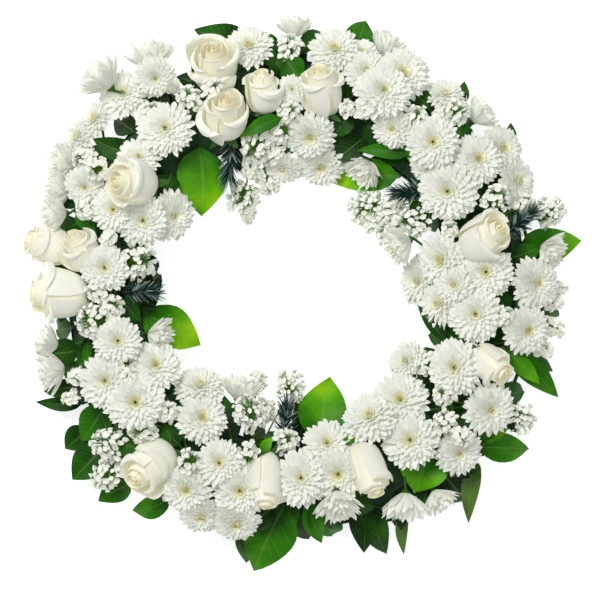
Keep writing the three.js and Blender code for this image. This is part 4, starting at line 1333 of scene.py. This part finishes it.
# Middles of the large leaves on the top, which the bed keeps clear of
CLEAR_SPOTS = [(200, 178), (424, 472), (92, 424), (168, 326)]
CLEAR_REACH = 36

chance = random.Random(16)
bm = new_bmesh()
for k in range(BED_LEAVES):
    angle = TURN * (k + chance.uniform(-PLACE_CHANCE, PLACE_CHANCE)) / BED_LEAVES
    off = BED_OFFSETS[k % len(BED_OFFSETS)] + chance.uniform(-BED_SPREAD, BED_SPREAD)
    base = at_ring(angle, off, FOAM_TOP + chance.uniform(*BED_RISE))
    way = angle + chance.uniform(-BED_SWING, BED_SWING) + (math.pi if off < 0 else 0)
    heading = spokes(way)[0] + UP * chance.uniform(*BED_SLOPE)
    tip = base + heading * chance.uniform(*BED_LENGTH)
    if any((on_grid(*spot) - (base + tip) / 2).xy.length < CLEAR_REACH for spot in CLEAR_SPOTS):
        continue
    width = chance.uniform(*BED_WIDTH)
    add_leaf(bm, base, tip, width, chance.uniform(*BED_SHADE_TONE), chance, SMALL_LEAF_GRID)
finish_piece("bed_of_leaves", bm, salal_leaf, "salal_leaf")

bm = new_bmesh()
for wall, count in SKIRT_LEAVES.items():
    for k in range(count):
        angle = TURN * (k + chance.uniform(-PLACE_CHANCE, PLACE_CHANCE)) / count
        height = FOAM_TOP - ROOT_DEPTH + chance.uniform(-SKIRT_DRIFT, SKIRT_DRIFT)
        base = at_ring(angle, wall * (FOAM_WIDTH / 2 - SKIRT_INSET), height)
        out = wall * (FOAM_WIDTH / 2 + chance.uniform(*SKIRT_REACH))
        swing = chance.uniform(-SKIRT_SWING, SKIRT_SWING)
        tip = at_ring(angle + swing, out, chance.uniform(*SKIRT_TIP))
        width = chance.uniform(*SKIRT_WIDTH)
        add_leaf(bm, base, tip, width, chance.uniform(*SKIRT_TONE), chance, SMALL_LEAF_GRID)
finish_piece("skirt_of_leaves", bm, salal_leaf, "salal_leaf")
print("up to", BED_LEAVES, "leaves in the bed and", sum(SKIRT_LEAVES.values()), "in the skirt")

# %% [markdown]
# Leaves that the photograph shows in a gap between blooms are listed in rows like those of the salal
# stems. Each has a stalk of its own that stands in the foam, or at its edge, and bends into
# the leaf's base.

# %% Leaves between the blooms
GAP_LEAF_GRID = (4, 7)
GAP_STALK_STEPS = 6
GAP_LEAVES = [
    (142, 158, 92, 138, 26, 58, 52, 0.15), (75, 213, 96, 234, 16, 52, 54, 0.5),
    (282, 118, 240, 138, 16, 84, 84, 0.55), (408, 155, 357, 150, 16, 66, 60, 0.5),
    (445, 340, 418, 305, 14, 60, 54, 0.15), (88, 340, 86, 370, 10, 56, 52, 0.4),
    (262, 45, 272, 66, 20, 60, 58, 0.2), (286, 60, 303, 80, 28, 66, 66, 0.5),
    (350, 70, 346, 104, 20, 62, 60, 0.2), (350, 112, 330, 138, 22, 62, 60, 0.15),
    (366, 122, 392, 146, 24, 60, 58, 0.2), (430, 110, 412, 88, 20, 62, 58, 0.2),
    (490, 210, 470, 178, 26, 60, 58, 0.2), (508, 312, 492, 290, 22, 60, 58, 0.2),
    (120, 298, 140, 322, 22, 60, 56, 0.2), (140, 452, 118, 436, 26, 62, 56, 0.2),
    (180, 446, 162, 424, 22, 62, 58, 0.35), (472, 142, 452, 124, 22, 62, 60, 0.3),
    (510, 258, 542, 246, 22, 58, 52, 0.2), (428, 168, 402, 142, 18, 60, 56, 0.7),
    (506, 350, 541, 384, 19, 62, 48, 0.6), (345, 446, 357, 431, 12, 70, 70, 0.8),
    (262, 453, 272, 437, 12, 70, 70, 0.75), (76, 206, 47, 196, 12, 40, 36, 0.1),
    (330, 500, 332, 531, 18, 48, 26, 0.1), (240, 138, 247, 178, 24, 50, 38, 0.1),
    (284, 74, 268, 52, 20, 58, 56, 0.2), (232, 442, 224, 396, 26, 52, 46, 0.1),
    (304, 446, 297, 398, 22, 40, 30, 0.1), (430, 474, 424, 510, 24, 42, 30, 0.12),
]

bm = new_bmesh()
for x0, y0, x1, y1, width, z0, z1, tone in GAP_LEAVES:
    base, tip = on_grid(x0, y0, z0), on_grid(x1, y1, z1)
    add_leaf(bm, base, tip, width, tone, chance, GAP_LEAF_GRID)
    stalk = bend(foam_root(base), UP, base, (tip - base).normalized(), GAP_STALK_STEPS)
    add_tubes(bm, [(stalk, [STALK_RADIUS] * GAP_STALK_STEPS)], tone=TWIG_TONE)
finish_piece("leaves_between_the_blooms", bm, salal_leaf, "salal_leaf")
print(len(GAP_LEAVES), "leaves in gaps")

# %% [markdown]
# The stage is a plain white floor under a broad soft light, as for a catalogue. The floor glows a
# little of its own, so that it stays white where the wreath keeps the light off it.

# %% Floor
FLOOR_SPAN = 6
FLOOR_DROP = 0.5
FLOOR_GLOW = 0.75
FLOOR_ROUGHNESS = 0.9
bm = bmesh.new()
bmesh.ops.create_grid(bm, x_segments=1, y_segments=1, size=FLOOR_SPAN / 2)
bmesh.ops.translate(bm, vec=(0, 0, -FLOOR_DROP * MM), verts=bm.verts)
floor_mesh = bpy.data.meshes.new("floor")
bm.to_mesh(floor_mesh)
bm.free()
floor = bpy.data.objects.new("floor", floor_mesh)
scene.collection.objects.link(floor)
floor_finish, floor_tree, floor_shader = new_material("white paper backdrop")
feed(floor_tree, floor_shader, {"Base Color": srgb("#F6F6F6"), "Roughness": FLOOR_ROUGHNESS,
                                "Emission Color": srgb("#FFFFFF"), "Emission Strength": FLOOR_GLOW})
floor_mesh.materials.append(floor_finish)
print("floor of", FLOOR_SPAN, "metres")

# %% [markdown]
# A large lamp at the upper left gives the petals their soft shade, and a weaker one from the other
# side opens the shadows. A pale sky fills the rest. The standard view transform keeps white petals
# white, where the default one would grey them.

# %% Light
# Rows of a lamp: place in metres, width, power in watts
LAMPS = {"key": ((-0.8, 1.0, 2.5), 1.0, 45), "fill": ((1.2, -0.9, 2.4), 1.6, 8)}
SKY_STRENGTH = 0.3
for name, (where, width, power) in LAMPS.items():
    lamp = bpy.data.lights.new(name, "AREA")
    lamp.size = width
    lamp.energy = power
    holder = bpy.data.objects.new(name, lamp)
    holder.location = where
    holder.rotation_euler = (-Vector(where)).to_track_quat("-Z", "Y").to_euler()
    scene.collection.objects.link(holder)

world = bpy.data.worlds.new("studio")
world.use_nodes = True
sky = world.node_tree.nodes["Background"]
feed(world.node_tree, sky, {"Color": srgb("#F2F5FA"), "Strength": SKY_STRENGTH})
scene.world = world
scene.view_settings.view_transform = "Standard"
print(len(LAMPS), "lamps and a pale sky")
